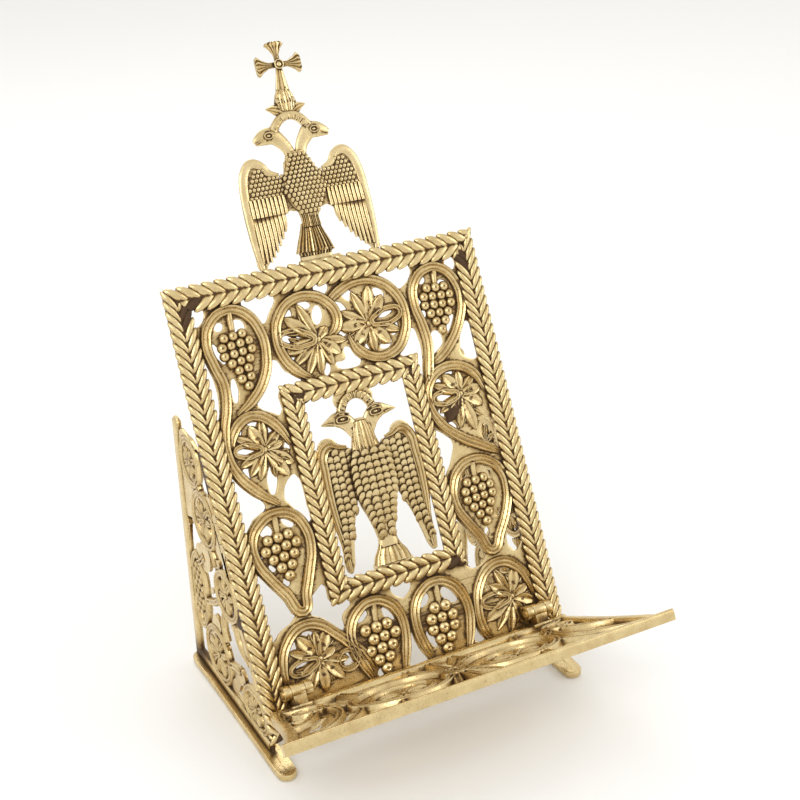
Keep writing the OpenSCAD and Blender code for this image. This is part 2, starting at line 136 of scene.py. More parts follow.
class Bench:
    """The modelling tools: each works on what it is given, with all else deselected."""

    def __init__(self) -> None:
        """Starts with no cross-sections drawn yet."""
        self.sections: dict[Strand, bpy.types.Object] = {}

    @staticmethod
    def take(*objects: bpy.types.Object) -> bpy.types.Object:
        """Selects some objects alone.

        Args:
            objects: the objects, of which the first becomes the active one.
        Returns:
            The first object.
        """
        bpy.ops.object.select_all(action="DESELECT")
        for thing in objects:
            thing.select_set(True)
        bpy.context.view_layer.objects.active = objects[0]
        return objects[0]

    def join(self, parts: Sequence[bpy.types.Object], name: str) -> bpy.types.Object:
        """Makes one object of several.

        Args:
            parts: the objects, of which the first is kept.
            name: the name of the whole.
        Returns:
            The joined object.
        """
        whole = self.take(*parts)
        if len(parts) > 1:
            bpy.ops.object.join()
        whole.name = whole.data.name = name
        return whole

    def settle(self, thing: bpy.types.Object) -> bpy.types.Object:
        """Moves an object's place, turn and scale into its mesh.

        Args:
            thing: the object.
        Returns:
            The same object.
        """
        self.take(thing)
        bpy.ops.object.transform_apply(location=True, rotation=True, scale=True)
        return thing

    def modify(self, thing: bpy.types.Object, kind: str, **settings: object) -> bpy.types.Object:
        """Adds one modifier and applies it.

        Args:
            thing: the object.
            kind: the modifier's type.
            settings: its properties.
        Returns:
            The same object.
        """
        self.take(thing)
        step = thing.modifiers.new(kind.lower(), kind)
        for key, value in settings.items():
            setattr(step, key, value)
        bpy.ops.object.modifier_apply(modifier=step.name)
        return thing

    def _profile(self, strand: Strand) -> bpy.types.Object:
        """Draws a cross-section once, as the closed line that paths are bevelled with.

        Args:
            strand: the cross-section.
        Returns:
            Its line.
        """
        if strand not in self.sections:
            points = strand.value.points()
            bpy.ops.object.select_all(action="DESELECT")
            bpy.ops.curve.primitive_bezier_curve_add()
            line = bpy.context.object
            line.data.dimensions = "2D"
            line.data.splines.clear()
            spline = line.data.splines.new("POLY")
            spline.points.add(len(points) - 1)
            for point, (x, y) in zip(spline.points, points):
                point.co = (x, y, 0, 1)
            spline.use_cyclic_u = True
            self.sections[strand] = line
        return self.sections[strand]

    def clear_sections(self) -> None:
        """Removes the cross-section lines when the castings are made."""
        for line in self.sections.values():
            bpy.data.objects.remove(line)
        self.sections.clear()

    def sweep(
        self,
        path: Sequence[Knot],
        strand: Strand,
        depth: float = -4.4,
        closed: bool = False,
        detail: int = 5,
    ) -> bpy.types.Object:
        """Draws a cross-section along a smooth path.

        Args:
            path: knots of across, up, and if they vary the scale and the extra height.
            strand: the cross-section.
            depth: height of the section's own line above the frame's plane.
            closed: whether the path joins its own start.
            detail: steps between two knots.
        Returns:
            The new mesh object.
        """
        profile = self._profile(strand)
        bpy.ops.object.select_all(action="DESELECT")
        bpy.ops.curve.primitive_bezier_curve_add()
        line = bpy.context.object
        data = line.data
        data.dimensions = "3D"
        data.twist_mode = "Z_UP"
        spline = data.splines[0]
        spline.bezier_points.add(len(path) - 2)
        for point, knot in zip(spline.bezier_points, path):
            scale, lift = (*knot[2:], *(1.0, 0.0)[len(knot) - 2:])
            point.co = (knot[0], knot[1], depth + lift)
            point.radius = scale
            point.handle_left_type = point.handle_right_type = "AUTO"
        spline.use_cyclic_u = closed
        data.resolution_u = detail
        data.bevel_mode = "OBJECT"
        data.bevel_object = profile
        data.use_fill_caps = not closed
        bpy.ops.object.convert(target="MESH")
        return bpy.context.object

    def pierced(
        self,
        outline: Sequence[Knot],
        square: Sequence[Sequence[Knot]],
        soft: Sequence[Sequence[Knot]],
        low: float,
        high: float,
        edge: float = 0.5,
    ) -> bpy.types.Object:
        """Makes a flat plate with rounded edges and openings.

        Args:
            outline: its outer outline, straight from knot to knot.
            square: openings that are straight from knot to knot.
            soft: openings that run smoothly through their knots.
            low: height of its lower face.
            high: height of its upper face.
            edge: radius of its edges.
        Returns:
            The new mesh object.
        """
        bpy.ops.object.select_all(action="DESELECT")
        bpy.ops.curve.primitive_bezier_curve_add()
        line = bpy.context.object
        data = line.data
        data.dimensions = "2D"
        data.fill_mode = "BOTH"
        data.splines.clear()
        for outlines, kind, detail in (((outline, *square), "VECTOR", 1), (soft, "AUTO", 4)):
            for knots in filter(None, outlines):
                spline = data.splines.new("BEZIER")
                spline.bezier_points.add(len(knots) - 1)
                for point, knot in zip(spline.bezier_points, knots):
                    point.co = (knot[0], knot[1], 0)
                    point.handle_left_type = point.handle_right_type = kind
                spline.use_cyclic_u = True
                spline.resolution_u = detail
        data.extrude = (high - low) / 2 - edge
        data.bevel_depth = edge
        data.bevel_resolution = 1
        data.offset = -edge
        bpy.ops.object.convert(target="MESH")
        slab = bpy.context.object
        slab.location.z = (high + low) / 2
        return self.refine(self.settle(slab))

    def refine(self, slab: bpy.types.Object, longest: float = 3.5) -> bpy.types.Object:
        """Halves long edges, so that a plate has points enough to carry its patina and painted shade.

        Args:
            slab: the plate.
            longest: the longest edge that may stay.
        Returns:
            The same plate.
        """
        for _ in range(5):
            self.take(slab)
            bpy.ops.object.mode_set(mode="EDIT")
            bpy.ops.mesh.select_mode(type="EDGE")
            bpy.ops.mesh.select_all(action="DESELECT")
            bpy.ops.object.mode_set(mode="OBJECT")
            points = slab.data.vertices
            found = False
            for edge in slab.data.edges:
                first, second = (points[i].co for i in edge.vertices)
                edge.select = (second - first).length > longest
                found = found or edge.select
            if not found:
                break
            bpy.ops.object.mode_set(mode="EDIT")
            bpy.ops.mesh.subdivide(number_cuts=1)
            bpy.ops.object.mode_set(mode="OBJECT")
        return slab

    def plate(
        self, outline: Sequence[Knot], low: float, high: float, edge: float = 0.5
    ) -> bpy.types.Object:
        """Makes a plate whose outline runs smoothly through its knots.

        Args:
            outline: its outer outline.
            low: height of its lower face.
            high: height of its upper face.
            edge: radius of its edges.
        Returns:
            The new mesh object.
        """
        return self.pierced([], [], [outline], low, high, edge)

    def pebble(
        self, size: Knot, sides: int = 10, rings: int = 6, pit: float = 0.0
    ) -> bpy.types.Object:
        """A small rounded boss, with a punched dot at its top if asked.

        Args:
            size: its three half sizes.
            sides: facets round it.
            rings: facets from its bottom to its top.
            pit: depth of the dot, as a share of its height.
        Returns:
            The boss, centred on the frame's origin.
        """
        bpy.ops.object.select_all(action="DESELECT")
        bpy.ops.mesh.primitive_uv_sphere_add(segments=sides, ring_count=rings, radius=1)
        boss = bpy.context.object
        if pit:
            top = max(boss.data.vertices, key=lambda v: v.co.z).index
            bpy.ops.object.mode_set(mode="EDIT")
            bpy.ops.mesh.select_mode(type="VERT")
            bpy.ops.mesh.select_all(action="DESELECT")
            bpy.ops.object.mode_set(mode="OBJECT")
            boss.data.vertices[top].select = True
            bpy.ops.object.mode_set(mode="EDIT")
            bpy.ops.transform.translate(value=(0, 0, -pit))
            bpy.ops.object.mode_set(mode="OBJECT")
        boss.scale = size
        return self.settle(boss)

    def stamp(
        self, pattern: bpy.types.Object, places: Iterable[Matrix], name: str
    ) -> bpy.types.Object:
        """Copies a pattern to each place, each copy with its own mesh, and joins the copies.

        Args:
            pattern: the shape that repeats, which is removed afterwards.
            places: one matrix for each copy.
            name: the name of the whole.
        Returns:
            The joined copies.
        """
        copies = []
        for place in places:
            twin = pattern.copy()
            twin.data = pattern.data.copy()
            twin.data.transform(place)
            bpy.context.collection.objects.link(twin)
            copies.append(twin)
        bpy.data.objects.remove(pattern)
        return self.join(copies, name)

    def trim(self, thing: bpy.types.Object, point: Knot, away: Knot) -> bpy.types.Object:
        """Cuts an object with a plane and closes the cut.

        Args:
            thing: the object.
            point: a point on the plane.
            away: the direction of the side that is cut away.
        Returns:
            The same object.
        """
        self.take(thing)
        bpy.ops.object.mode_set(mode="EDIT")
        bpy.ops.mesh.select_all(action="SELECT")
        bpy.ops.mesh.bisect(plane_co=point, plane_no=away, use_fill=True, clear_outer=True)
        bpy.ops.object.mode_set(mode="OBJECT")
        return thing

    def cast(
        self, name: str, parts: Sequence[bpy.types.Object], place: Matrix, angle: float = 38
    ) -> bpy.types.Object:
        """Joins the parts of one casting, points its faces outwards and sets it in place.

        Args:
            name: the piece's name.
            parts: its parts, in millimetres in their flat frame.
            place: the matrix from that frame to the stand.
            angle: the edge angle in degrees below which it is shaded smooth.
        Returns:
            The finished casting, its object at the origin.
        """
        whole = self.join(parts, name)
        whole.data.transform(place)
        self.take(whole)
        bpy.ops.object.mode_set(mode="EDIT")
        bpy.ops.mesh.select_all(action="SELECT")
        bpy.ops.mesh.remove_doubles(threshold=0.002 * MM)
        bpy.ops.mesh.normals_make_consistent(inside=False)
        bpy.ops.object.mode_set(mode="OBJECT")
        bpy.ops.object.shade_smooth_by_angle(angle=math.radians(angle))
        return whole


BENCH = Bench()
QUARTER_TURN = Matrix.Rotation(math.pi / 2, 4, "Z")
HALF_ROLL = Matrix.Rotation(math.pi, 4, "X")


def spot(across: float, up: float, out: float = 0.0, turn: float = 0.0, tip: float = 0.0,
         size: float = 1.0) -> Matrix:
    """Place of a small shape in a flat frame.

    Args:
        across: distance across.
        up: distance up.
        out: height above the plane.
        turn: turn in the plane, in degrees.
        tip: tilt about its own across line, in degrees.
        size: scale.
    Returns:
        The matrix.
    """
    return (
        Matrix.Translation((across, up, out))
        @ Matrix.Rotation(math.radians(turn), 4, "Z")
        @ Matrix.Rotation(math.radians(tip), 4, "X")
        @ Matrix.Scale(size, 4)
    )


def on_side(side: int, path: Sequence[Knot], middle: float = 0.0) -> list[Knot]:
    """Gives a path that is drawn for the left side to either side.

    Args:
        side: -1 for the left side, 1 for the right.
        path: the knots on the left side.
        middle: where the upright line between the sides stands.
    Returns:
        The knots on that side.
    """
    if side < 0:
        return list(path)
    return [(2 * middle - knot[0], *knot[1:]) for knot in path]


def oblong(half: float, low: float, high: float) -> list[Knot]:
    """Corners of a rectangle that stands across the middle line."""
    return [(-half, low), (half, low), (half, high), (-half, high)]


def oval(centre: Knot, half_across: float, half_up: float, knots: int = 8) -> list[Knot]:
    """Knots round an ellipse.

    Args:
        centre: its centre.
        half_across: half its size across.
        half_up: half its size up.
        knots: how many knots.
    Returns:
        The knots, from the right side round.
    """
    turns = [2 * math.pi * i / knots for i in range(knots)]
    return [(centre[0] + half_across * math.cos(t), centre[1] + half_up * math.sin(t)) for t in turns]


def slanted(
    across: float, up: float, half_long: float, half_wide: float, slant: float
) -> list[Knot]:
    """Knots round a slanted ellipse.

    Args:
        across: its middle across.
        up: its middle up.
        half_long: half its length.
        half_wide: half its width.
        slant: turn of its length, in degrees.
    Returns:
        The knots.
    """
    turn = Matrix.Rotation(math.radians(slant), 2)
    knots = [turn @ Vector(knot) for knot in oval((0, 0), half_long, half_wide, 6)]
    return [(across + knot.x, up + knot.y) for knot in knots]


def polar(centre: Knot, angle: float, reach: float) -> tuple[float, float]:
    """The point at an angle in degrees and a distance from a centre."""
    turn = math.radians(angle)
    return centre[0] + reach * math.cos(turn), centre[1] + reach * math.sin(turn)


@dataclass(frozen=True)
class Layout:
    """Where the stand's flat frames lie, worked out from its joints.

    Fields: height up the slope and distance out of the panel's face of the ledge's hinge line,
    and distance of its pins to either side; the same of the wings' hinges, which have two pins.
    """

    hinge_up: float = 30.0
    hinge_out: float = 6.0
    hinge_across: float = 97.0
    wing_hinge_ups: tuple[float, float] = (42.0, 146.0)
    wing_hinge_out: float = -12.0
    wing_hinge_across: float = 116.0

    def panel(self) -> Matrix:
        """Panel frame: across, up the slope and out of the front face, from the lower edge.

        Returns:
            The matrix from that frame to the stand.
        """
        joints = {joint["name"]: joint for joint in frame["joints"]}
        slope = Vector(joints["right_wing_fold"]["axis"]).normalized()
        across = Vector((1, 0, 0))
        out = across.cross(slope)
        hinge = Vector(joints["ledge_fold"]["pos_m"])
        corner = hinge - MM * (self.hinge_up * slope + self.hinge_out * out)
        return self._matrix(corner, across, slope, out)

    def ledge(self, upper_face: float) -> Matrix:
        """Ledge frame: across, back towards the panel's face, and up the slope.

        Args:
            upper_face: height of the ledge's upper face up the panel's slope.
        Returns:
            The matrix from that frame to the stand.
        """
        base = self.panel()
        across, slope, out = (base.col[i].to_3d() / MM for i in range(3))
        corner = base.translation + MM * upper_face * slope
        return self._matrix(corner, across, -out, slope)

    def wing(self, node: str, rear: float) -> Matrix:
        """Wing frame: to the rear, up, and across, from the floor under the panel's lower edge.

        Args:
            node: the wing's CAD node.
            rear: distance from that edge to the wing's rear.
        Returns:
            The matrix from that frame to the stand.
        """
        low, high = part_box(node)
        corner = Vector(((low.x + high.x) / 2, high.y - MM * rear, 0))
        return self._matrix(corner, Vector((0, 1, 0)), Vector((0, 0, 1)), Vector((1, 0, 0)))

    @staticmethod
    def _matrix(corner: Vector, x: Vector, y: Vector, z: Vector) -> Matrix:
        """Matrix from a frame in millimetres to the stand in metres.

        Args:
            corner: the frame's origin, in metres.
            x: its first direction.
            y: its second direction.
            z: its third direction.
        Returns:
            The matrix.
        """
        made = Matrix.Identity(4)
        for index, axis in enumerate((x, y, z)):
            made.col[index] = (*(MM * axis), 0)
        made.col[3] = (*corner, 1)
        return made


class Wire:
    """One shader value. Arithmetic on it adds Math nodes to its tree."""

    def __init__(self, tree: bpy.types.NodeTree, socket: bpy.types.NodeSocket) -> None:
        """Holds a socket and the tree that it is in."""
        self.tree = tree
        self.socket = socket

    def _math(self, operation: str, first: object, second: object, clamp: bool = False) -> "Wire":
        """Adds one Math node.

        Args:
            operation: the node's operation.
            first: a Wire or a number.
            second: a Wire or a number.
            clamp: whether the result stays between 0 and 1.
        Returns:
            The result.
        """
        made = self.tree.nodes.new("ShaderNodeMath")
        made.operation, made.use_clamp = operation, clamp
        for slot, value in zip(made.inputs, (first, second)):
            if isinstance(value, Wire):
                self.tree.links.new(value.socket, slot)
            else:
                slot.default_value = value
        return Wire(self.tree, made.outputs[0])

    def __add__(self, other: object) -> "Wire":
        """Sum."""
        return self._math("ADD", self, other)

    __radd__ = __add__

    def __sub__(self, other: object) -> "Wire":
        """Difference."""
        return self._math("SUBTRACT", self, other)

    def __rsub__(self, other: object) -> "Wire":
        """Difference the other way round."""
        return self._math("SUBTRACT", other, self)

    def __mul__(self, other: object) -> "Wire":
        """Product."""
        return self._math("MULTIPLY", self, other)

    __rmul__ = __mul__

    def __pow__(self, other: object) -> "Wire":
        """Power."""
        return self._math("POWER", self, other)

    def held(self) -> "Wire":
        """The value kept between 0 and 1."""
        return self._math("ADD", self, 0.0, clamp=True)

    def above(self, low: float, high: float) -> "Wire":
        """0 up to the low value, 1 from the high one, and straight between them."""
        return ((self - low) * (1 / (high - low))).held()


class Dresser:
    """Builds one material's nodes."""

    def __init__(self, name: str) -> None:
        """Makes an empty material with its shader and output."""
        self.material = bpy.data.materials.new(name)
        self.material.use_nodes = True
        self.tree = self.material.node_tree
        self.tree.nodes.clear()
        self.shader = self.tree.nodes.new("ShaderNodeBsdfPrincipled")
        output = self.tree.nodes.new("ShaderNodeOutputMaterial")
        self.tree.links.new(self.shader.outputs[0], output.inputs["Surface"])

    def node(self, kind: str, settings: dict[str, object], **values: object) -> bpy.types.Node:
        """Adds any node.

        Args:
            kind: the node's type.
            settings: its own properties, which are set first.
            values: numbers, colours or Wires for its sockets, with _ for a space in a name.
        Returns:
            The node.
        """
        made = self.tree.nodes.new(kind)
        for key, value in settings.items():
            setattr(made, key, value)
        for key, value in values.items():
            self.feed(made.inputs[key.replace("_", " ")], value)
        return made

    def feed(self, socket: bpy.types.NodeSocket, value: object) -> None:
        """Gives a socket its value or its link.

        Args:
            socket: the socket.
            value: a number, a colour or a Wire.
        """
        if isinstance(value, Wire):
            self.tree.links.new(value.socket, socket)
        else:
            socket.default_value = value

    def wire(self, node: bpy.types.Node, output: str) -> Wire:
        """A node's output as a value."""
        return Wire(self.tree, node.outputs[output])

    def noise(self, scale: float, detail: float, roughness: float = 0.55) -> Wire:
        """Noise on the piece's own coordinates.

        Args:
            scale: steps per metre.
            detail: how many finer layers it has.
            roughness: strength of the finer layers.
        Returns:
            The noise.
        """
        place = self.wire(self.node("ShaderNodeTexCoord", {}), "Object")
        cloud = self.node(
            "ShaderNodeTexNoise", {}, Vector=place, Scale=scale, Detail=detail, Roughness=roughness
        )
        return self.wire(cloud, "Fac")

    def blend(self, mask: Wire, low: object, high: object) -> Wire:
        """Mixes two colours by a mask.

        Args:
            mask: 0 for the first colour, 1 for the second.
            low: the first colour.
            high: the second colour.
        Returns:
            The mixed colour.
        """
        mixer = self.node("ShaderNodeMix", {"data_type": "RGBA"})
        for index, value in ((0, mask), (6, low), (7, high)):
            self.feed(mixer.inputs[index], value)
        return Wire(self.tree, mixer.outputs[2])


def rgb(red: int, green: int, blue: int) -> tuple[float, float, float, float]:
    """A display colour as the linear one that a shader takes."""
    return (*(((c / 255 + 0.055) / 1.055) ** 2.4 for c in (red, green, blue)), 1.0)


@dataclass(frozen=True)
class BrassFinish:
    """Cast brass with patina and painted shade in its recesses, and bright rubbed edges that are partly
    wear and partly a painted highlight.

    Fields: name, the colours of rubbed metal with painted highlight, of plain metal, of metal in
    painted shade and of the patina with painted shade, how much patina and painted shade lies on it,
    its roughness where rubbed and where dull, and the depth of its cast grain.
    """

    name: str
    wear_and_highlight: Colour = (229, 206, 154)
    plain: Colour = (176, 146, 92)
    shaded: Colour = (124, 93, 52)
    patina_and_shade_tone: Colour = (62, 41, 22)
    dirt_and_shade: float = 1.0
    smooth: float = 0.26
    dull: float = 0.62
    grain: float = 0.5

    # Steps per metre of the casting's grain, its specks and its broad stains, and height of the grain
    GRAIN_STEPS = 1500.0
    SPECK_STEPS = 620.0
    STAIN_STEPS = 95.0
    GRAIN_HEIGHT = 0.25 * MM

    def make(self) -> bpy.types.Material:
        """Builds the material: patina and painted shade lie where the recess value is high, and open
        faces turn bright, partly as wear and partly as a painted highlight.

        Returns:
            The material.
        """
        kit = Dresser(self.name)
        recess = kit.wire(kit.node("ShaderNodeAttribute", {"attribute_name": "recess"}), "Fac")
        fine = kit.noise(self.GRAIN_STEPS, 3.0)
        speck = kit.noise(self.SPECK_STEPS, 4.0, 0.7)
        broad = kit.noise(self.STAIN_STEPS, 3.0)
        pits = speck.above(0.54, 0.68)
        # Patina and painted shade: darker where the recess value, the covered share of the sky, is
        # high; the specks are stains of their own
        hollow_shade_and_tarnish = (recess * 1.5 + (broad - 0.5) * 0.55 + (speck - 0.5) * 0.7).above(0.34, 0.9)
        dirt_and_shade = ((hollow_shade_and_tarnish + pits * 0.42 + recess * pits * 0.8) * self.dirt_and_shade).held()
        dirt_and_shade = dirt_and_shade * (0.5 + fine * 0.35 + speck * 0.35)
        # Wear and painted highlight: the metal turns lighter where the recess value is low and the sky
        # is open
        wear_and_highlight = ((0.42 - recess) * 2.0 + (broad - 0.5) * 1.2).held()
        metal = kit.blend(wear_and_highlight, rgb(*self.plain), rgb(*self.wear_and_highlight))
        metal = kit.blend((recess * 1.7 - 0.2).held(), metal, rgb(*self.shaded))
        kit.feed(kit.shader.inputs["Base Color"], kit.blend(dirt_and_shade, metal, rgb(*self.patina_and_shade_tone)))
        kit.feed(kit.shader.inputs["Metallic"], (1 - dirt_and_shade * 0.6).held())
        rough = self.smooth + dirt_and_shade * (self.dull - self.smooth) + (fine - 0.5) * 0.16
        kit.feed(kit.shader.inputs["Roughness"], rough.held())
        height = fine * 0.35 + speck * 0.65 - pits * 0.4
        bump = kit.node(
            "ShaderNodeBump", {}, Strength=self.grain, Distance=self.GRAIN_HEIGHT, Height=height
        )
        kit.feed(kit.shader.inputs["Normal"], kit.wire(bump, "Normal"))
        return kit.material


class Finish(Enum):
    """The stand's finishes: one for most castings, a smoother one for the eagles, and one for the CAD
    parts that stay.
    """

    # Each finish's rubbed colour is partly a painted highlight, and its amount of patina is partly
    # painted shade
    ANTIQUE = BrassFinish("antique_brass")
    # The eagles' finish: a smoother polish, and lighter colours that stand in for a painted highlight
    POLISHED = BrassFinish(
        "polished_brass", wear_and_highlight=(232, 210, 160), plain=(182, 155, 102), dirt_and_shade=1.0, smooth=0.24
    )
    PINS = BrassFinish("brass_pins", plain=(184, 154, 98), dirt_and_shade=0.55, smooth=0.3, grain=0.3)


@dataclass
class PatinaAndShade:
    """Finds how deep in a recess each point lies, by how much of its sky is covered; the finish darkens
    by this value, as patina and as painted shade.

    Fields: number of looks from each point, and how far each look reaches in millimetres.
    """

    looks: int = 12
    reach: float = 7.5

    # Rise of the lowest look and the span up to the highest; height of a look's start above its
    # point; and how much less a far hit covers than a near one
    LOWEST = 0.22
    SPAN = 0.74
    START = 0.05
    FAR_LOSS = 0.6

    def directions(self) -> list[Vector]:
        """Spreads the looks evenly over a half sky round +Z.

        Returns:
            Their directions.
        """
        made = []
        for i in range(self.looks):
            rise = self.LOWEST + self.SPAN * (i + 0.5) / self.looks
            turn = i * math.pi * (3 - math.sqrt(5))
            flat = math.sqrt(1 - rise * rise)
            made.append(Vector((flat * math.cos(turn), flat * math.sin(turn), rise)))
        return made

    def settle(self, pieces: Sequence[bpy.types.Object]) -> None:
        """Writes the recess value of every point of some pieces that stand together.

        Args:
            pieces: mesh objects of one body, in place.
        """
        points: list[Vector] = []
        faces: list[tuple[int, ...]] = []
        for piece in pieces:
            start = len(points)
            points += [v.co.copy() for v in piece.data.vertices]
            faces += [tuple(start + i for i in p.vertices) for p in piece.data.polygons]
        tree = BVHTree.FromPolygons(points, faces)
        looks = self.directions()
        reach = self.reach * MM
        for piece in pieces:
            values = []
            for vertex in piece.data.vertices:
                normal = vertex.normal
                turn = normal.to_track_quat("Z", "Y")
                origin = vertex.co + normal * self.START * MM
                covered = 0.0
                for look in looks:
                    hit = tree.ray_cast(origin, turn @ look, reach)
                    if hit[3] is not None:
                        covered += 1 - self.FAR_LOSS * hit[3] / reach
                values.append(covered / self.looks)
            mark = piece.data.attributes.new("recess", "FLOAT", "POINT")
            mark.data.foreach_set("value", values)


def dress(piece: bpy.types.Object, finish: bpy.types.Material, body: str, node: str) -> None:
    """Gives a piece its finish, hangs it on its body and hides the CAD node that it stands for.

    Args:
        piece: the casting.
        finish: its material.
        body: the body that it rides on.
        node: the CAD node that it replaces.
    """
    piece.data.materials.clear()
    piece.data.materials.append(finish)
    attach(piece, body)
    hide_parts(node)
    LOG.info("%s rides on %s, %d faces", piece.name, body, len(piece.data.polygons))


@dataclass(frozen=True)
class RopeBar:
    """One side of a rope border: two rows of slanted leaves over a plain bar.

    Fields: length, half width, spacing of the leaves, their slant in degrees, heights of the bar's
    back and of its front under the leaves, and whether and how closely the outer side is ribbed.
    """

    length: float
    half: float
    pitch: float
    slant: float
    back: float = -7.0
    shelf: float = -1.6
    ribbed: bool = False
    rib_pitch: float = 3.5

    def build(self) -> bpy.types.Object:
        """Models the bar along X from 0, its outer edge on the +Y side, with mitred ends.

        Returns:
            The bar.
        """
        edge = self.half - 0.5
        bpy.ops.mesh.primitive_cube_add(
            size=1,
            location=(self.length / 2, 0, (self.back + self.shelf) / 2),
            scale=(self.length, 2 * edge, self.shelf - self.back),
        )
        parts = [BENCH.modify(BENCH.settle(bpy.context.object), "BEVEL", width=0.7, segments=2)]
        turn = math.radians(self.slant)
        long = (self.half + 0.6) / math.sin(turn)
        wide = self.pitch * math.sin(turn)
        for side in (-1, 1):
            leaf = BENCH.pebble((long * 0.58, wide * 0.74, 2.3), sides=12, rings=8)
            leaf.data.transform(self._leaf_place(side, turn, -2 * self.pitch))
            count = int(self.length / self.pitch) + 5
            parts.append(self._row(leaf, self.pitch, count))
        if self.ribbed:
            bpy.ops.mesh.primitive_cylinder_add(
                vertices=8, radius=1.35, depth=5.4, location=(0, edge - 0.85, -4.1)
            )
            rib = BENCH.modify(BENCH.settle(bpy.context.object), "BEVEL", width=0.5, segments=2)
            parts.append(self._row(rib, self.rib_pitch, int(self.length / self.rib_pitch) + 1))
        bar = BENCH.join(parts, "bar")
        BENCH.trim(bar, (self.half, 0, 0), (-1, -1, 0))
        return BENCH.trim(bar, (self.length - self.half, 0, 0), (1, -1, 0))

    def _leaf_place(self, side: int, turn: float, start: float) -> Matrix:
        """Place of the first leaf of a row: it leans towards the bar's middle line.

        Args:
            side: 1 for the outer row, -1 for the inner one.
            turn: the leaf's slant, in radians.
            start: distance along the bar.
        Returns:
            The matrix.
        """
        return (
            Matrix.Translation((start, side * self.half * 0.5, -2.3))
            @ Matrix.Rotation(-side * turn, 4, "Z")
            @ Matrix.Rotation(side * math.radians(14), 4, "X")
        )

    @staticmethod
    def _row(pattern: bpy.types.Object, pitch: float, count: int) -> bpy.types.Object:
        """Repeats a pattern along X.

        Args:
            pattern: the shape that repeats.
            pitch: its spacing.
            count: how many there are.
        Returns:
            The row.
        """
        return BENCH.modify(
            pattern,
            "ARRAY",
            count=count,
            use_relative_offset=False,
            use_constant_offset=True,
            constant_offset_displace=(pitch, 0, 0),
        )


@dataclass(frozen=True)
class RopeFrame:
    """A rectangle of four rope bars.

    Fields: half its size across, its lower and upper edge, the half width of its bars, spacing of
    the leaves on the upright and the level bars, and whether its outer sides are ribbed.
    """

    half_w: float
    low: float
    high: float
    bar_half: float
    upright_pitch: float
    level_pitch: float
    ribbed: bool = False

    def build(self) -> list[bpy.types.Object]:
        """Models the four bars: leaves point down the uprights and to the right on the others.

        Returns:
            The bars and the leaves over their mitres.
        """
        tall = self.high - self.low
        slant = 31
        upright = RopeBar(tall, self.bar_half, self.upright_pitch, slant, ribbed=self.ribbed)
        level = RopeBar(
            2 * self.half_w, self.bar_half, self.level_pitch, slant, ribbed=self.ribbed
        )
        inset = self.half_w - self.bar_half
        places = (
            (upright, (-inset, self.high), (0, -1), (-1, 0)),
            (upright, (inset, self.high), (0, -1), (1, 0)),
            (level, (-self.half_w, self.high - self.bar_half), (1, 0), (0, 1)),
            (level, (-self.half_w, self.low + self.bar_half), (1, 0), (0, -1)),
        )
        bars = []
        for kind, corner, along, outward in places:
            bar = kind.build()
            bar.data.transform(
                Matrix((
                    (along[0], outward[0], 0, corner[0]),
                    (along[1], outward[1], 0, corner[1]),
                    (0, 0, 1, 0),
                    (0, 0, 0, 1),
                ))
            )
            bars.append(bar)
        return [*bars, *self._corners()]

    def _corners(self) -> list[bpy.types.Object]:
        """Models two slanted leaves over each mitre but the outer frame's upper left one.

        Returns:
            The leaves.
        """
        leaves = []
        inset = self.half_w - self.bar_half
        for side, up in ((1, 1), (1, -1), (-1, -1), (-1, 1)):
            if self.ribbed and (side, up) == (-1, 1):
                continue
            at_up = self.high - self.bar_half if up > 0 else self.low + self.bar_half
            for share in (-0.62, 0.62):
                leaf = BENCH.pebble((self.bar_half * 0.85, 2.5, 1.9), sides=12, rings=8)
                shift = share * self.bar_half
                leaf.data.transform(spot(
                    side * (inset + shift), at_up + up * shift, -2.0, turn=45.0 * side * up
                ))
                leaves.append(leaf)
        return leaves


@dataclass(frozen=True)
class Leaf:
    """A vine leaf: lobes and loops round one heart.

    Fields: the heart, the lobes as angle, reach and kind (a solid lobe, a wide one with two teeth
    or an open loop), and the height of the lobes' own line.
    """

    heart: Knot
    lobes: tuple[tuple[float, float, Strand], ...]
    depth: float = -4.2

    def build(self) -> list[bpy.types.Object]:
        """Models every lobe and the knob at the heart.

        Returns:
            The parts.
        """
        parts = []
        for angle, reach, kind in self.lobes:
            if kind in (Strand.LOOP, Strand.LOOP_WIDE):
                parts.append(self._loop(angle, reach, kind))
            else:
                parts.append(self._blade(self.heart, angle, reach, kind))
            if kind is Strand.LOBE_WIDE:
                for side in (-1, 1):
                    root = polar(self.heart, angle, reach * 0.34)
                    parts.append(self._blade(root, angle + side * 38, reach * 0.5, Strand.TOOTH))
        knob = BENCH.pebble((2.6, 2.6, 2.3), sides=14, rings=8)
        knob.data.transform(spot(self.heart[0], self.heart[1], self.depth))
        return [*parts, knob]

    def _blade(self, root: Knot, angle: float, reach: float, kind: Strand) -> bpy.types.Object:
        """Models a solid lobe, widest past its middle and pointed.

        Args:
            root: where it starts.
            angle: its direction in degrees.
            reach: its length.
            kind: its cross-section.
        Returns:
            The lobe.
        """
        shares = ((0.0, 0.45), (0.3, 0.8), (0.6, 1.1), (0.82, 0.75), (1.0, 0.1))
        path = [(*polar(root, angle, reach * t), scale) for t, scale in shares]
        return BENCH.sweep(path, kind, self.depth, detail=4)

    def _loop(self, angle: float, reach: float, kind: Strand) -> bpy.types.Object:
        """Models an open lobe: a band that runs out to a tip and back.

        Args:
            angle: its direction in degrees.
            reach: its length from the heart.
            kind: its cross-section.
        Returns:
            The lobe.
        """
        wide = reach * 0.2
        path = []
        for share, side in ((0.08, 0), (0.35, -0.8), (0.62, -1), (0.98, 0), (0.62, 1), (0.35, 0.8)):
            near = polar(self.heart, angle, reach * share)
            path.append(polar(near, angle + 90, side * wide))
        return BENCH.sweep(path, kind, self.depth, closed=True, detail=4)


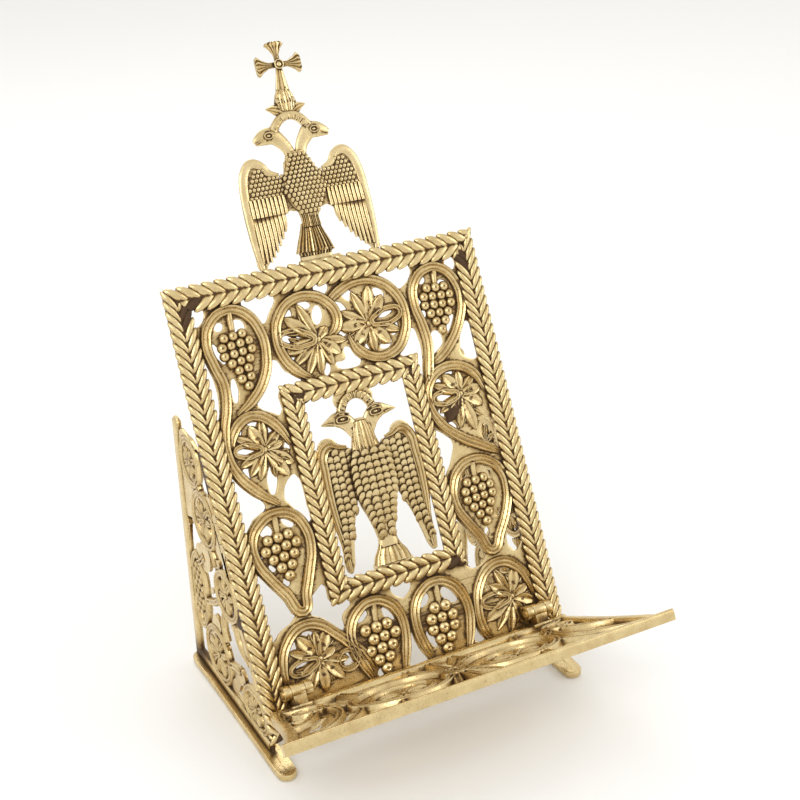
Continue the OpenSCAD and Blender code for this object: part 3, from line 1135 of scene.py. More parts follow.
@dataclass(frozen=True)
class Bunch:
    """A bunch of grapes on a short stalk, with a plate behind it.

    Fields: middle of the top row, top of the stalk, grapes in each row, lean in degrees, and the
    radius of a grape.
    """

    top: Knot
    stalk: Knot
    rows: tuple[int, ...] = (3, 3, 3, 2, 1)
    lean: float = 0.0
    grape: float = 4.25

    def build(self) -> list[bpy.types.Object]:
        """Models the grapes, the plate behind them and the stalk.

        Returns:
            The parts.
        """
        gap = 2 * self.grape * 0.9
        drop = gap * 0.88
        places = []
        for row, count in enumerate(self.rows):
            shift = 0.5 if row == 1 and self.rows[0] == count else 0.0
            for i in range(count):
                across = (i - (count - 1) / 2 + shift) * gap
                near = polar(self.top, self.lean - 90, row * drop)
                x, y = polar(near, self.lean, across)
                places.append(spot(x, y, -3.75 + 0.35 * ((i + row) % 2), turn=25.0 * (row + i)))
        pattern = BENCH.pebble((self.grape, self.grape, 3.15), sides=14, rings=9, pit=0.42)
        grapes = BENCH.stamp(pattern, places, "grapes")
        neck = [(*self.stalk, 1.25), (*polar(self.top, self.lean - 90, 2), 0.9)]
        reach = drop * (len(self.rows) - 1)
        half = gap * (max(self.rows) - 1) / 2
        web = [(0, 2), (half, 0), (half, -reach * 0.45), (1, -reach), (-1, -reach),
               (-half, -reach * 0.45), (-half, 0)]
        turned = Matrix.Rotation(math.radians(self.lean), 2)
        spread = [tuple(Vector(self.top) + turned @ Vector(knot)) for knot in web]
        back = BENCH.plate(spread, -6.2, -4.3)
        return [grapes, back, BENCH.sweep(neck, Strand.STALK, -4.0)]


@dataclass
class FrontPanel:
    """The leaning panel: rope borders, vine scrolls with leaves and grapes, and hinge lugs.

    Fields: half its width, its height up the slope, half width of the outer border's bars, half
    the width of the inner frame, its lower and upper edge, half width of its bars, and the frame
    that all of it is built in.
    """

    half_w: float = 120.0
    height: float = 314.0
    border: float = 8.25
    inner_half: float = 53.5
    inner_low: float = 78.0
    inner_high: float = 233.0
    inner_bar: float = 6.75
    place: Matrix = field(default_factory=lambda: Layout().panel())

    # Each scroll of the vine: its knots, and whether it closes on itself
    SCROLLS = (
        # Left column, from the top: bunch, its long stem, leaf, bunch, corner leaf
        ([(-88, 221), (-75, 229), (-63, 242), (-57.5, 257), (-58, 275), (-66, 289), (-79, 293.5),
          (-92, 287), (-98, 273), (-96, 258), (-92.5, 243), (-94.5, 228), (-100, 212), (-102, 197),
          (-98, 182), (-88, 168), (-74, 155)], False),
        ([(-98, 200), (-94, 210), (-86, 217), (-77, 218.5), (-68, 214), (-61, 206), (-55, 194)], False),
        ([(-79, 149.5), (-66, 145), (-59.5, 134), (-59, 120), (-64, 105), (-70, 91), (-75, 79),
          (-84, 93), (-93, 107), (-99.5, 120), (-99.5, 135), (-91, 145.5)], True),
        ([(-99, 30), (-99.5, 47), (-93, 61), (-80, 69.5), (-67, 67), (-56, 57), (-47, 47), (-38, 36),
          (-33, 24)], False),
        # Lower bunches
        ([(-35, 15), (-41, 29), (-46, 44), (-44.5, 58), (-36.5, 68), (-26, 72), (-14, 68), (-6.5, 58),
          (-5, 45), (-8, 30), (-12, 15)], False),
        ([(13, 15), (7, 30), (4.5, 45), (7, 59), (15, 68.5), (26, 72), (37, 68), (45, 57.5),
          (47.5, 45), (45, 30), (40, 15)], False),
        # Right column, from the foot: corner leaf, bunch, leaf, bunch
        ([(62, 15), (55.5, 28), (55, 44), (60, 59), (70, 69), (82, 71), (93, 65), (100, 54),
          (103, 40)], False),
        ([(78, 149), (66, 144.5), (58, 133), (57, 120), (63, 106), (71, 93), (78, 81), (87, 92),
          (96, 106), (101, 121), (99.5, 136), (90, 146)], True),
        ([(105, 148), (90, 157), (73, 168), (60, 182), (55, 198), (59.5, 211), (71, 219),
          (85, 218.5), (97, 210), (103, 196)], False),
        ([(56, 203), (62, 221), (66, 239), (65, 254), (62.5, 269), (66, 284), (78, 293), (90, 291),
          (99, 280), (100.5, 265), (95, 250), (84, 236), (72, 227), (63, 224)], False),
        # The two leaf scrolls at the top, which curl into each other
        ([(-27, 233), (-38, 242), (-45.5, 254), (-47, 268), (-41.5, 282), (-30, 291), (-16, 291.5),
          (-4.5, 285), (1, 274), (-1.5, 265), (-9, 260)], False),
        ([(-7, 281), (6, 290), (22, 295), (38, 291.5), (50, 280), (53.5, 265), (49, 249), (38, 239),
          (24, 238), (12, 246), (7, 258)], False),
    )
    # Openings that are pierced through the plate behind the scrolls, as outlines
    OPENINGS = (
        [(-105, 298), (-94, 298), (-104, 286)],
        [(-104, 264), (-99.5, 254), (-98, 242), (-99, 230), (-104, 214), (-107, 213), (-108, 240)],
        [(-106, 188), (-98, 176), (-86, 161), (-84, 155), (-95, 149), (-103, 141), (-105, 160)],
        [(-103, 112), (-98, 110), (-81, 81), (-83, 76), (-95, 70), (-103, 65), (-104, 90)],
        [(-66, 297), (-42, 297), (-48, 285), (-54, 279), (-60, 288)],
        [(-72, 226), (-60, 243), (-53, 253), (-46, 243), (-36, 234), (-54, 231), (-57, 215),
         (-62, 217)],
        [(-57, 172), (-60, 172), (-69, 158), (-67, 154), (-60, 144), (-56, 137), (-54, 150)],
        [(-57, 93), (-60, 92), (-71, 77), (-62, 70), (-50, 58), (-48, 68), (-40, 76), (-54, 79)],
        [(-11, 297), (0, 297), (-6, 290)],
        [(41, 297), (66, 298), (56, 283), (52, 284)],
        [(-8, 240), (0, 242), (1, 250), (5, 250), (12, 238), (4, 235)],
        [(95, 295), (101, 298), (102, 289), (98, 289)],
        [(103, 248), (100, 249), (92, 234), (91, 228), (96, 222), (103, 221)],
        [(57, 253), (60, 245), (60, 232), (54, 214), (51, 216), (51, 233), (43, 236), (49, 246)],
        [(70, 245), (76, 247), (79, 238), (74, 229), (69, 231)],
        [(52, 181), (56, 177), (67, 166), (64, 155), (58, 146), (52, 141), (51, 150)],
        [(94, 172), (101, 176), (103, 160), (100, 148), (93, 158)],
        [(56, 112), (62, 100), (72, 88), (73, 80), (62, 72), (55, 75), (53, 84)],
        [(98, 100), (103, 102), (103, 80), (95, 76)],
        [(-1, 41), (2, 41), (9, 21), (-9, 21)],
        [(-8, 77), (8, 77), (1, 67), (-1, 67)],
        [(51, 38), (57, 22), (47, 21)],
    )
    # Smaller oval openings: middle, half length, half width and slant in degrees
    EYES = (
        # Round the leaves
        (-36, 281, 5.5, 4.2, 60), (-22, 286, 6, 3, -15), (-13, 277, 7, 4, 75),
        (-35, 265, 9.5, 4, -15), (-36, 251.5, 5, 4, -30), (-28, 240.5, 4, 2.8, 10),
        (-15, 238, 4.5, 2.6, 70), (2, 262.5, 6.5, 4.6, 20), (13.5, 286, 7, 3.6, -45),
        (37, 283, 5, 3.4, -35), (37, 269, 8, 3.6, 5), (43, 256, 5.5, 3.4, 65),
        (34, 246, 5.5, 2.8, 20), (22, 250, 5.5, 3.4, 50), (5, 279, 6, 3.2, -40),
        (-91, 210, 4.5, 3.2, 65), (-78, 213.5, 5, 2.6, -15), (-68, 203, 6, 3, 75),
        (-58.5, 191, 5, 2.2, 80), (-88.5, 195, 7.2, 3.2, -18), (-90.5, 181, 4.2, 3, -50),
        (-74.5, 172, 10, 3.6, 80), (-90, 56, 5.2, 3, 45), (-76, 62, 5, 2.6, -18),
        (-63.5, 53, 3, 2.6, 0), (-82.5, 42, 7.6, 2.8, -8), (-52, 38, 5.2, 4.4, 0),
        (76, 215, 4.6, 2.3, -8), (65.5, 208.5, 4.8, 3.4, 35), (70, 198, 6.8, 3.2, -12),
        (65, 187.5, 3.8, 2.6, -35), (89.5, 204, 4.6, 2.2, 80), (70, 177, 4.6, 2.2, -40),
        (93, 54.5, 4.6, 4, 20), (77, 43.5, 4.4, 2.4, -40), (98.5, 42.5, 3, 2, 80),
        (68, 58, 4.2, 2.6, 60), (85, 64.5, 4.4, 2, 0),
        # Round the bunches
        (-86, 283, 3.6, 2.8, 30), (-72, 281, 5.2, 4.4, -50), (-90.5, 265, 8, 2.4, 112),
        (-85.5, 238, 8.5, 2.6, 84), (-88, 139, 4.8, 4, -20), (-71, 142, 5.6, 3.2, -48),
        (-95, 124.5, 3, 2.2, 60), (-89.5, 113.5, 3, 2.2, -50), (-82, 101.5, 3, 2.2, -60),
        (-67.5, 103, 6.5, 2.2, 72), (-35, 63, 5.8, 3.2, 22), (-13.5, 60, 6.5, 4.2, -52),
        (-30, 21, 3, 2.4, 80), (14, 61, 6, 4.4, 30), (35.5, 59, 8, 4.4, -48),
        (14, 32, 7, 2.2, 112), (69, 140.5, 3.6, 3.2, 0), (88, 137, 6.4, 3.6, -55),
        (89.5, 107, 3, 1.8, 70), (76.5, 94.5, 4, 2.4, 65), (73, 285.5, 3.4, 3, 0),
        (89.5, 278.5, 5, 3.6, -50), (68, 270, 3, 1.6, 90), (69, 261, 2.8, 2, 90),
        (88.5, 250, 7, 3, 62),
    )
    LEAVES = (
        Leaf((-17, 260), ((168, 30, Strand.LOOP_WIDE), (138, 30, Strand.LOBE_WIDE),
                          (110, 30, Strand.LOBE), (190, 28, Strand.LOBE_WIDE),
                          (214, 28, Strand.LOBE), (240, 29, Strand.LOBE), (262, 26, Strand.LOBE),
                          (290, 22, Strand.LOBE), (318, 20, Strand.LOBE_WIDE),
                          (348, 22, Strand.LOBE), (40, 12, Strand.LOBE))),
        Leaf((24, 263), ((10, 27, Strand.LOOP_WIDE), (50, 24, Strand.LOBE_WIDE),
                         (78, 28, Strand.LOBE_WIDE), (108, 26, Strand.LOBE),
                         (148, 24, Strand.LOBE), (176, 24, Strand.LOBE_WIDE),
                         (222, 20, Strand.LOBE_WIDE), (270, 22, Strand.LOBE),
                         (308, 22, Strand.LOBE_WIDE), (338, 26, Strand.LOBE))),
        Leaf((-75, 194), ((172, 22, Strand.LOOP), (146, 24, Strand.LOBE), (112, 20, Strand.LOBE_WIDE),
                          (84, 22, Strand.LOBE), (38, 18, Strand.LOBE), (10, 15, Strand.LOBE),
                          (-36, 24, Strand.LOBE_WIDE), (-58, 26, Strand.LOBE_WIDE),
                          (-112, 22, Strand.LOBE), (-132, 22, Strand.LOBE),
                          (-158, 22, Strand.LOBE))),
        Leaf((-72, 44), ((188, 24, Strand.LOOP), (154, 24, Strand.LOBE), (124, 24, Strand.LOBE_WIDE),
                         (88, 20, Strand.LOBE), (62, 22, Strand.LOBE_WIDE), (20, 14, Strand.LOBE),
                         (-14, 22, Strand.LOBE), (-50, 24, Strand.LOBE_WIDE),
                         (-92, 24, Strand.LOBE_WIDE), (-122, 24, Strand.LOBE),
                         (-148, 26, Strand.LOBE_WIDE))),
        Leaf((82, 198), ((180, 24, Strand.LOOP), (152, 24, Strand.LOBE), (122, 20, Strand.LOBE_WIDE),
                         (84, 18, Strand.LOBE), (40, 18, Strand.LOBE), (6, 18, Strand.LOBE_WIDE),
                         (-34, 20, Strand.LOBE_WIDE), (-78, 30, Strand.LOBE_WIDE),
                         (-104, 26, Strand.LOBE), (-130, 24, Strand.LOBE_WIDE),
                         (208, 22, Strand.LOBE))),
        Leaf((84, 44), ((176, 26, Strand.LOOP), (140, 20, Strand.LOBE_WIDE), (112, 26, Strand.LOBE),
                        (70, 22, Strand.LOBE_WIDE), (20, 16, Strand.LOBE),
                        (-24, 20, Strand.LOBE_WIDE), (-72, 26, Strand.LOBE_WIDE),
                        (-106, 28, Strand.LOBE), (206, 28, Strand.LOBE_WIDE),
                        (230, 28, Strand.LOBE))),
    )
    BUNCHES = (
        Bunch((-78, 275), (-77, 291), rows=(3, 4, 4, 3, 2, 2, 1), lean=5, grape=3.75),
        Bunch((-81, 133), (-80, 147), rows=(3, 4, 3, 2, 1), lean=4, grape=4.3),
        Bunch((-26, 53), (-24, 69), rows=(3, 3, 3, 2, 1), lean=2, grape=4.75),
        Bunch((25.5, 53), (26, 69), rows=(2, 3, 3, 2, 1), lean=-2, grape=4.75),
        Bunch((77, 134), (78, 147), rows=(3, 4, 4, 3, 2, 1), lean=3, grape=3.9),
        Bunch((82, 278), (84, 290), rows=(3, 4, 4, 3, 2, 1), lean=-4, grape=3.9),
    )

    def borders(self) -> None:
        """Builds the outer rope border and the rope frame round the eagle."""
        outer = RopeFrame(self.half_w, 0, self.height, self.border, 7.2, 9.2, ribbed=True)
        inner = RopeFrame(
            self.inner_half, self.inner_low, self.inner_high, self.inner_bar, 6.9, 9.0
        )
        self.rope_border = BENCH.cast("rope_border", outer.build(), self.place)
        self.inner_frame = BENCH.cast("rope_inner_frame", inner.build(), self.place)

    def vines(self) -> None:
        """Builds the scrolls, the pierced plate behind them, the leaves and the bunches."""
        scrolls = []
        for index, (path, closed) in enumerate(self.SCROLLS):
            depth = -4.3 - 0.05 * (index % 4)
            if not closed:
                first, *rest, last = path
                path = [(*first, 0.5), *((*knot, 1.0) for knot in rest), (*last, 0.5)]
            scrolls.append(BENCH.sweep(path, Strand.VINE, depth, closed=closed))
        eyelet = BENCH.sweep(oval((-52, 37.5), 7.6, 6.8), Strand.LOOP, -4.2, closed=True)
        inset = 5.5
        edge = 8.0
        sheet = oblong(self.half_w - inset, inset, self.height - inset)
        gate = oblong(self.inner_half - edge, self.inner_low + edge, self.inner_high - edge)
        eyes = [slanted(*eye) for eye in self.EYES]
        ground = BENCH.pierced(sheet, [gate], [*self.OPENINGS, *eyes], -6.4, -3.9)
        self.scrolls = BENCH.cast("vine_scrolls", [*scrolls, eyelet], self.place)
        self.web = BENCH.cast("vine_web", [ground], self.place)
        leaves = [part for leaf in self.LEAVES for part in leaf.build()]
        self.leaves = BENCH.cast("vine_leaves", leaves, self.place)
        grapes = [part for bunch in self.BUNCHES for part in bunch.build()]
        self.grapes = BENCH.cast("grape_bunches", grapes, self.place)

    def lugs(self) -> None:
        """Builds the lugs that hold the wings' pins behind the panel and the ledge's in front."""
        parts = []
        lie = Layout()
        wing_lug_gap, ledge_lug_gap = 10.4, 7.9
        for side, end in ((-1, -1), (-1, 1), (1, -1), (1, 1)):
            for up in lie.wing_hinge_ups:
                lug = Hinge().eye(6, 5.6, 7.6)
                place = (side * lie.wing_hinge_across, up + end * wing_lug_gap, lie.wing_hinge_out)
                lug.data.transform(Matrix.Translation(place) @ QUARTER_TURN @ HALF_ROLL)
                parts.append(lug)
            lug = Hinge(radius=5.0).eye(5, 11.5, 9.6)
            place = (side * lie.hinge_across + end * ledge_lug_gap, lie.hinge_up, lie.hinge_out)
            lug.data.transform(Matrix.Translation(place))
            parts.append(lug)
        self.hinge_lugs = BENCH.cast("panel_hinge_lugs", parts, self.place)

    def pieces(self) -> list[bpy.types.Object]:
        """Builds the whole panel.

        Returns:
            Its pieces.
        """
        self.borders()
        self.vines()
        self.lugs()
        return [self.rope_border, self.inner_frame, self.scrolls, self.web, self.leaves,
                self.grapes, self.hinge_lugs]


@dataclass(frozen=True)
class Hinge:
    """Lugs and knuckles: round eyes with a bore, on short blocks.

    Fields: outer radius and bore radius.
    """

    radius: float = 4.0
    bore: float = 1.55

    def eye(self, length: float, foot: float, wide: float) -> bpy.types.Object:
        """Models an eye along X, its axis on the frame's origin, with a foot towards -Z.

        Args:
            length: its length along the pin.
            foot: how far the foot reaches from the axis.
            wide: the foot's width.
        Returns:
            The eye.
        """
        bpy.ops.object.select_all(action="DESELECT")
        turn = (0, math.pi / 2, 0)
        bpy.ops.mesh.primitive_cylinder_add(
            vertices=28, radius=self.radius, depth=length, end_fill_type="NOTHING", rotation=turn
        )
        rim = bpy.context.object
        bpy.ops.mesh.primitive_cylinder_add(
            vertices=28, radius=self.bore, depth=length, end_fill_type="NOTHING", rotation=turn
        )
        tube = BENCH.settle(BENCH.join([rim, bpy.context.object], "tube"))
        for end in (-1, 1):
            self._close_end(tube, end * length / 2)
        BENCH.modify(tube, "BEVEL", width=0.35, segments=2, limit_method="ANGLE")
        bpy.ops.mesh.primitive_cube_add(
            size=1, location=(0, 0, -(foot + self.bore + 0.3) / 2),
            scale=(length, wide, foot - self.bore - 0.3),
        )
        block = BENCH.settle(bpy.context.object)
        BENCH.modify(block, "BEVEL", width=0.35, segments=2)
        return BENCH.join([tube, block], "eye")

    @staticmethod
    def _close_end(tube: bpy.types.Object, at: float) -> None:
        """Bridges the two rims at one end of a tube.

        Args:
            tube: the tube, along X.
            at: where along X that end is.
        """
        BENCH.take(tube)
        bpy.ops.object.mode_set(mode="EDIT")
        bpy.ops.mesh.select_mode(type="EDGE")
        bpy.ops.mesh.select_all(action="DESELECT")
        bpy.ops.object.mode_set(mode="OBJECT")
        points = tube.data.vertices
        for edge in tube.data.edges:
            edge.select = all(abs(points[i].co.x - at) < 0.01 for i in edge.vertices)
        bpy.ops.object.mode_set(mode="EDIT")
        bpy.ops.mesh.bridge_edge_loops()
        bpy.ops.object.mode_set(mode="OBJECT")


@dataclass(frozen=True)
class Scales:
    """Rows of small overlapping scales on a rounded body.

    Fields: half width and half length of a scale, and whether it is a small diamond.
    """

    half_wide: float = 2.7
    half_long: float = 3.1
    diamond: bool = False

    def lay(self, spots: Sequence[tuple[float, float, float]]) -> bpy.types.Object:
        """Lays a scale at each spot, its lower edge raised.

        Args:
            spots: across, up and height of each scale.
        Returns:
            The scales as one object.
        """
        if self.diamond:
            size = (self.half_wide, self.half_long, 0.75)
            pattern = BENCH.pebble(size, sides=6, rings=4)
        else:
            pattern = BENCH.pebble((self.half_wide, self.half_long, 0.5), sides=14, rings=5)
        places = [spot(x, y, z, tip=13 if self.diamond else 21) for x, y, z in spots]
        return BENCH.stamp(pattern, places, "scales")


def dome(across: float, half: float, rise: float) -> float:
    """Height of a round back above its sides.

    Args:
        across: distance from its middle line.
        half: half its width.
        rise: its height on the middle line.
    Returns:
        The height.
    """
    return rise * math.sqrt(max(0.0, 1 - (across / half) ** 2))


def half_at(table: Sequence[tuple[float, float]], up: float) -> float:
    """Half width at a height, read between the rows of a table.

    Args:
        table: heights and the half widths there, from the foot up.
        up: the height.
    Returns:
        The half width.
    """
    for (low, near), (high, far) in zip(table, table[1:]):
        if up <= high:
            return near + (far - near) * max(0.0, up - low) / (high - low)
    return table[-1][1]


@dataclass
class CentreEagle:
    """The double-headed eagle in the inner frame.

    Fields: its middle line, spacing of its rows of scales, and its frame.
    """

    middle: float = -1.0
    row: float = 4.9
    place: Matrix = field(default_factory=lambda: Layout().panel())

    # Outline of the left wing, and half widths of the body by height
    WING = (
        (-13, 180), (-20, 181), (-22.5, 187), (-28, 190.5), (-34, 189), (-38, 182), (-40, 168),
        (-40.5, 150), (-40, 132), (-37, 124), (-36, 112), (-37, 100), (-34, 94), (-31, 97),
        (-28, 108), (-24, 124), (-19, 137), (-14, 152),
    )
    BODY = ((106, 8.2), (112, 7.2), (120, 8.4), (128, 10.5), (138, 14), (150, 16.5), (162, 16.5),
            (172, 14.5), (180, 10.5), (187, 8.6))

    def body(self) -> list[bpy.types.Object]:
        """Models the scaled body, the fluted neck and the fanned tail.

        Returns:
            The parts.
        """
        m = self.middle
        trunk = BENCH.sweep([(m, up, half) for up, half in self.BODY], Strand.LIMB, -3.8)
        neck = BENCH.sweep(
            [(m, 168, 11.5), (m, 177, 10.2), (m, 186, 9.0), (m, 193, 7.6), (m, 197, 5.4)],
            Strand.NECK, -3.2,
        )
        tail = BENCH.sweep([(m, 112, 6.5), (m, 106, 9), (m, 100, 13), (m, 94, 15)], Strand.FAN, -4.0)
        for side in (-1, 1):
            BENCH.trim(tail, (m + side * 15.4, 101, 0), (side, 0.55, 0))
        foot = BENCH.sweep([(m - 15, 93), (m + 15, 93)], Strand.STALK, -4.4)
        spots = []
        for row in range(13):
            up = 173 - self.row * row
            half = half_at(self.BODY, up) - 0.6
            count = max(1, round(half / 5.6))
            for side in (-1, 1):
                for i in range(count):
                    across = (i + 0.54) * half / count
                    spots.append((m + side * across, up, -3.4 + dome(across, half + 3, half * 0.28)))
        scales = Scales(half_wide=3.5, half_long=4.6).lay(spots)
        return [trunk, neck, tail, foot, scales]

    def wing(self, side: int) -> list[bpy.types.Object]:
        """Models one wing: a plate with four columns of scales and a streaked leading edge.

        Args:
            side: -1 for the left wing, 1 for the right.
        Returns:
            The parts.
        """
        centre = self.middle + 0.5
        ground = BENCH.plate(on_side(side, self.WING, centre), -6.0, -3.2)
        streak = [(-16, 180.5, 2.2), (-23, 182, 3.4), (-29, 184.5, 4.6), (-34.5, 180, 4.8),
                  (-36.2, 166, 4.4), (-36.8, 150, 4.0), (-36, 132, 3.2), (-34.4, 116, 2.6),
                  (-34.6, 104, 2.4), (-34.4, 95, 1.6)]
        lead = BENCH.sweep(on_side(side, streak, centre), Strand.BAND, -3.1)
        columns = ((-15.5, 145, 176), (-20.5, 135, 178), (-25.5, 118, 178), (-30.5, 104, 176))
        spots = []
        for index, (across, low, high) in enumerate(columns):
            rows = int((high - low) / self.row)
            for row in range(rows + 1):
                up = high - self.row * row - 2.4 * (index % 2)
                shift = 0.16 * max(0.0, 130 - up) if index > 1 else 0.0
                spots.append((across - shift, up, -2.8))
        scales = Scales(half_wide=3.2, half_long=4.5).lay(on_side(side, spots, centre))
        return [ground, lead, scales]

    def head(self, side: int) -> list[bpy.types.Object]:
        """Models one head that looks outwards, with its eye, brow and beak.

        Args:
            side: -1 for the left head, 1 for the right.
        Returns:
            The parts.
        """
        def at(across: float) -> float:
            """Distance across on this head's side."""
            return self.middle + side * across

        skull = BENCH.sweep(
            [(at(3), 185, 4.6), (at(6.5), 193, 5.4), (at(11.5), 199.5, 6.0), (at(17), 201.5, 5.4),
             (at(22), 201, 3.4), (at(26), 200.4, 1.8), (at(29.5), 200, 0.4)],
            Strand.LIMB, -3.6,
        )
        lid = BENCH.sweep(
            [(at(8.5), 200.5), (at(13), 203.2), (at(18), 200.8), (at(13.5), 198.8)],
            Strand.LINE, -1.6, closed=True,
        )
        ball = BENCH.pebble((2.0, 1.2, 0.7), sides=12, rings=6)
        ball.data.transform(spot(at(13), 201, -1.9))
        bill = BENCH.sweep([(at(20), 199.2, 0.8), (at(24), 199.8, 0.8), (at(28.5), 199.8, 0.3)],
                           Strand.LINE, -2.0)
        brow = BENCH.sweep([(at(7), 204, 0.9), (at(13), 206.2, 1.1), (at(19), 204, 0.6)],
                           Strand.LINE, -2.2)
        return [skull, lid, ball, bill, brow]

    def arch(self) -> list[bpy.types.Object]:
        """Models the ribbed arch over the two heads, and the web that ties it to the frame.

        Returns:
            The parts.
        """
        m = self.middle
        bow = BENCH.sweep(
            [(m - 13, 203), (m - 11, 209), (m - 6.5, 214.5), (m, 216.6), (m + 6.5, 214.5),
             (m + 11, 209), (m + 13, 203)], Strand.BOW, -3.6,
        )
        rib = BENCH.pebble((0.75, 3.1, 1.0), sides=8, rings=5)
        angles = [18 + 14.4 * i for i in range(11)]
        places = [spot(*polar((m, 204.5), a, 11.6), -2.2, turn=a - 90) for a in angles]
        ribs = BENCH.stamp(rib, places, "ribs")
        web = BENCH.plate(
            [(m - 13, 209), (m - 13, 221), (m + 12, 221), (m + 12, 209), (m + 8, 213.5),
             (m, 217), (m - 8, 213.5)], -5.8, -3.4,
        )
        throat = BENCH.plate([(m - 6, 196), (m, 199.5), (m + 6, 196), (m, 188)], -5.8, -3.0)
        return [bow, ribs, web, throat]

    def pieces(self) -> list[bpy.types.Object]:
        """Builds the eagle.

        Returns:
            Its one piece.
        """
        parts = [*self.body(), *self.arch()]
        for side in (-1, 1):
            parts += [*self.wing(side), *self.head(side)]
        return [BENCH.cast("centre_eagle_casting", parts, self.place)]


@dataclass
class CrestEagle:
    """The crest: a double-headed eagle with spread wings under a crown and a cross.

    Field: its frame.
    """

    place: Matrix = field(default_factory=lambda: Layout().panel())

    # Outline of the left wing, and half widths of the body by height
    WING = (
        (-8, 388), (-14, 376.5), (-22, 377.5), (-27.5, 383), (-31, 390), (-36, 392), (-41.5, 388),
        (-46, 378), (-48.3, 362), (-48.6, 342), (-47.6, 324), (-46, 314.5), (-42.5, 314.5),
        (-39.5, 318), (-33, 325), (-27, 335), (-21.5, 346), (-15, 352.5), (-9, 352),
    )
    BODY = ((346, 6.4), (350, 8), (356, 13), (364, 16), (372, 15.5), (380, 12), (387, 9.4), (393, 7.5))

    def wing(self, side: int) -> list[bpy.types.Object]:
        """Models one wing: small scales above, two tiers of long feathers, a smooth leading edge.

        Args:
            side: -1 for the left wing, 1 for the right.
        Returns:
            The parts.
        """
        ground = BENCH.plate(on_side(side, self.WING), -5.6, -3.2)
        edge = [(-17, 378, 1.8), (-24, 381, 2.6), (-29, 387, 3.2), (-35.5, 389.2, 3.4),
                (-41, 384.5, 3.4), (-44.4, 374, 3.4), (-45.6, 358, 3.2), (-45.8, 340, 3.0),
                (-45.4, 326, 2.4), (-44.6, 315, 1.8)]
        parts = [ground, BENCH.sweep(on_side(side, edge), Strand.LIMB, -3.0)]
        for i in range(9):
            across = -17.5 - 3.1 * i
            low = max(317 + (8 - i) ** 1.6, 320)
            upper = [(across, 364, 1.2), (across, 357, 1.55), (across - 0.2, 351, 1.5)]
            parts.append(BENCH.sweep(on_side(side, upper), Strand.FEATHER, -2.7, detail=2))
            if i > 0:
                lower = [(across, 352.5, 1.5), (across, (351 + low) / 2, 1.75),
                         (across - 0.8, low - 1, 0.8)]
                parts.append(BENCH.sweep(on_side(side, lower), Strand.FEATHER, -3.0, detail=3))
        spots = []
        for row in range(8):
            up = 364.5 + 3.1 * row
            for i in range(9):
                across = -15 - 3.2 * i - 1.6 * (row % 2)
                within_edge = across > -41.5 + 0.022 * (up - 366) ** 2
                below_top = up < 377 + 0.05 * (across + 15) ** 2
                if within_edge and below_top and (up < 377 or across < -26.5):
                    spots.append((across, up, -2.9))
        parts.append(Scales(1.75, 2.0, diamond=True).lay(on_side(side, spots)))
        return parts

    def body(self) -> list[bpy.types.Object]:
        """Models the body with its small scales, and the fanned tail on its foot.

        Returns:
            The parts.
        """
        pitch = 1.65
        trunk = BENCH.sweep([(0, up, half) for up, half in self.BODY], Strand.LIMB, -3.8)
        spots = []
        for row in range(14):
            up = 350 + 3.1 * row
            half = half_at(self.BODY, up)
            count = int((half - 0.8) / pitch)
            for i in range(-count, count + 1):
                if (i + row) % 2 == 0:
                    spots.append((pitch * i, up, -3.5 + dome(pitch * i, half + 1, half * 0.28)))
        scales = Scales(1.75, 2.1, diamond=True).lay(spots)
        rump = BENCH.sweep([(-1, 352, 8), (-1, 345, 6.8), (-1, 339, 7.4)], Strand.TAIL, -3.2)
        tail = BENCH.sweep(
            [(-2, 342, 6.8), (-2, 335, 9.5), (-2.2, 328, 12.5), (-2.5, 321, 15)], Strand.TAIL, -3.9
        )
        skirt = BENCH.sweep([(-2.5, 323.5, 13.6), (-3, 319, 12), (-3.2, 314, 11)], Strand.TAIL, -4.0)
        foot = BENCH.pierced([(-15, 313.5), (8.5, 313.5), (8.5, 318.5), (-15, 318.5)], [], [], -6.2,
                             -1.6)
        return [trunk, scales, rump, tail, skirt, foot]

    def head(self, side: int) -> list[bpy.types.Object]:
        """Models one neck and head, which looks outwards, with its eye and beak.

        Args:
            side: -1 for the left head, 1 for the right.
        Returns:
            The parts.
        """
        neck = BENCH.sweep(
            [(side * 3, 388, 4.6), (side * 5, 395, 4.2), (side * 9.5, 402, 5.0),
             (side * 15, 406.5, 6.2), (side * 21, 406, 5.6), (side * 26, 404.2, 3.8),
             (side * 28.6, 402.9, 2.2)], Strand.LIMB, -3.6,
        )
        lid = BENCH.sweep(oval((side * 17.5, 406.5), 3.1, 2.1), Strand.LINE, -2.0, closed=True)
        ball = BENCH.pebble((1.5, 1.1, 0.6), sides=10, rings=6)
        ball.data.transform(spot(side * 17.5, 406.5, -2.0))
        bill = BENCH.sweep([(side * 22.5, 404.4, 0.8), (side * 28, 402.2, 0.5)], Strand.LINE, -2.2)
        return [neck, lid, ball, bill]

    def crown(self) -> list[bpy.types.Object]:
        """Models the ribbed arch, the leafed crown, its dome, the stem and the flared cross.

        Returns:
            The parts.
        """
        bow = BENCH.sweep(
            [(-13, 409), (-9.5, 413.5), (-5, 417.5), (2, 419.5), (8, 417.5), (12, 413.5), (15, 409)],
            Strand.BOW, -3.6,
        )
        rib = BENCH.pebble((0.7, 2.8, 0.9), sides=8, rings=5)
        angles = [26 + 16 * i for i in range(9)]
        places = [spot(*polar((1.2, 405), a, 13.0), -2.3, turn=a - 90) for a in angles]
        parts = [bow, BENCH.stamp(rib, places, "ribs")]
        root = (1.2, 419)
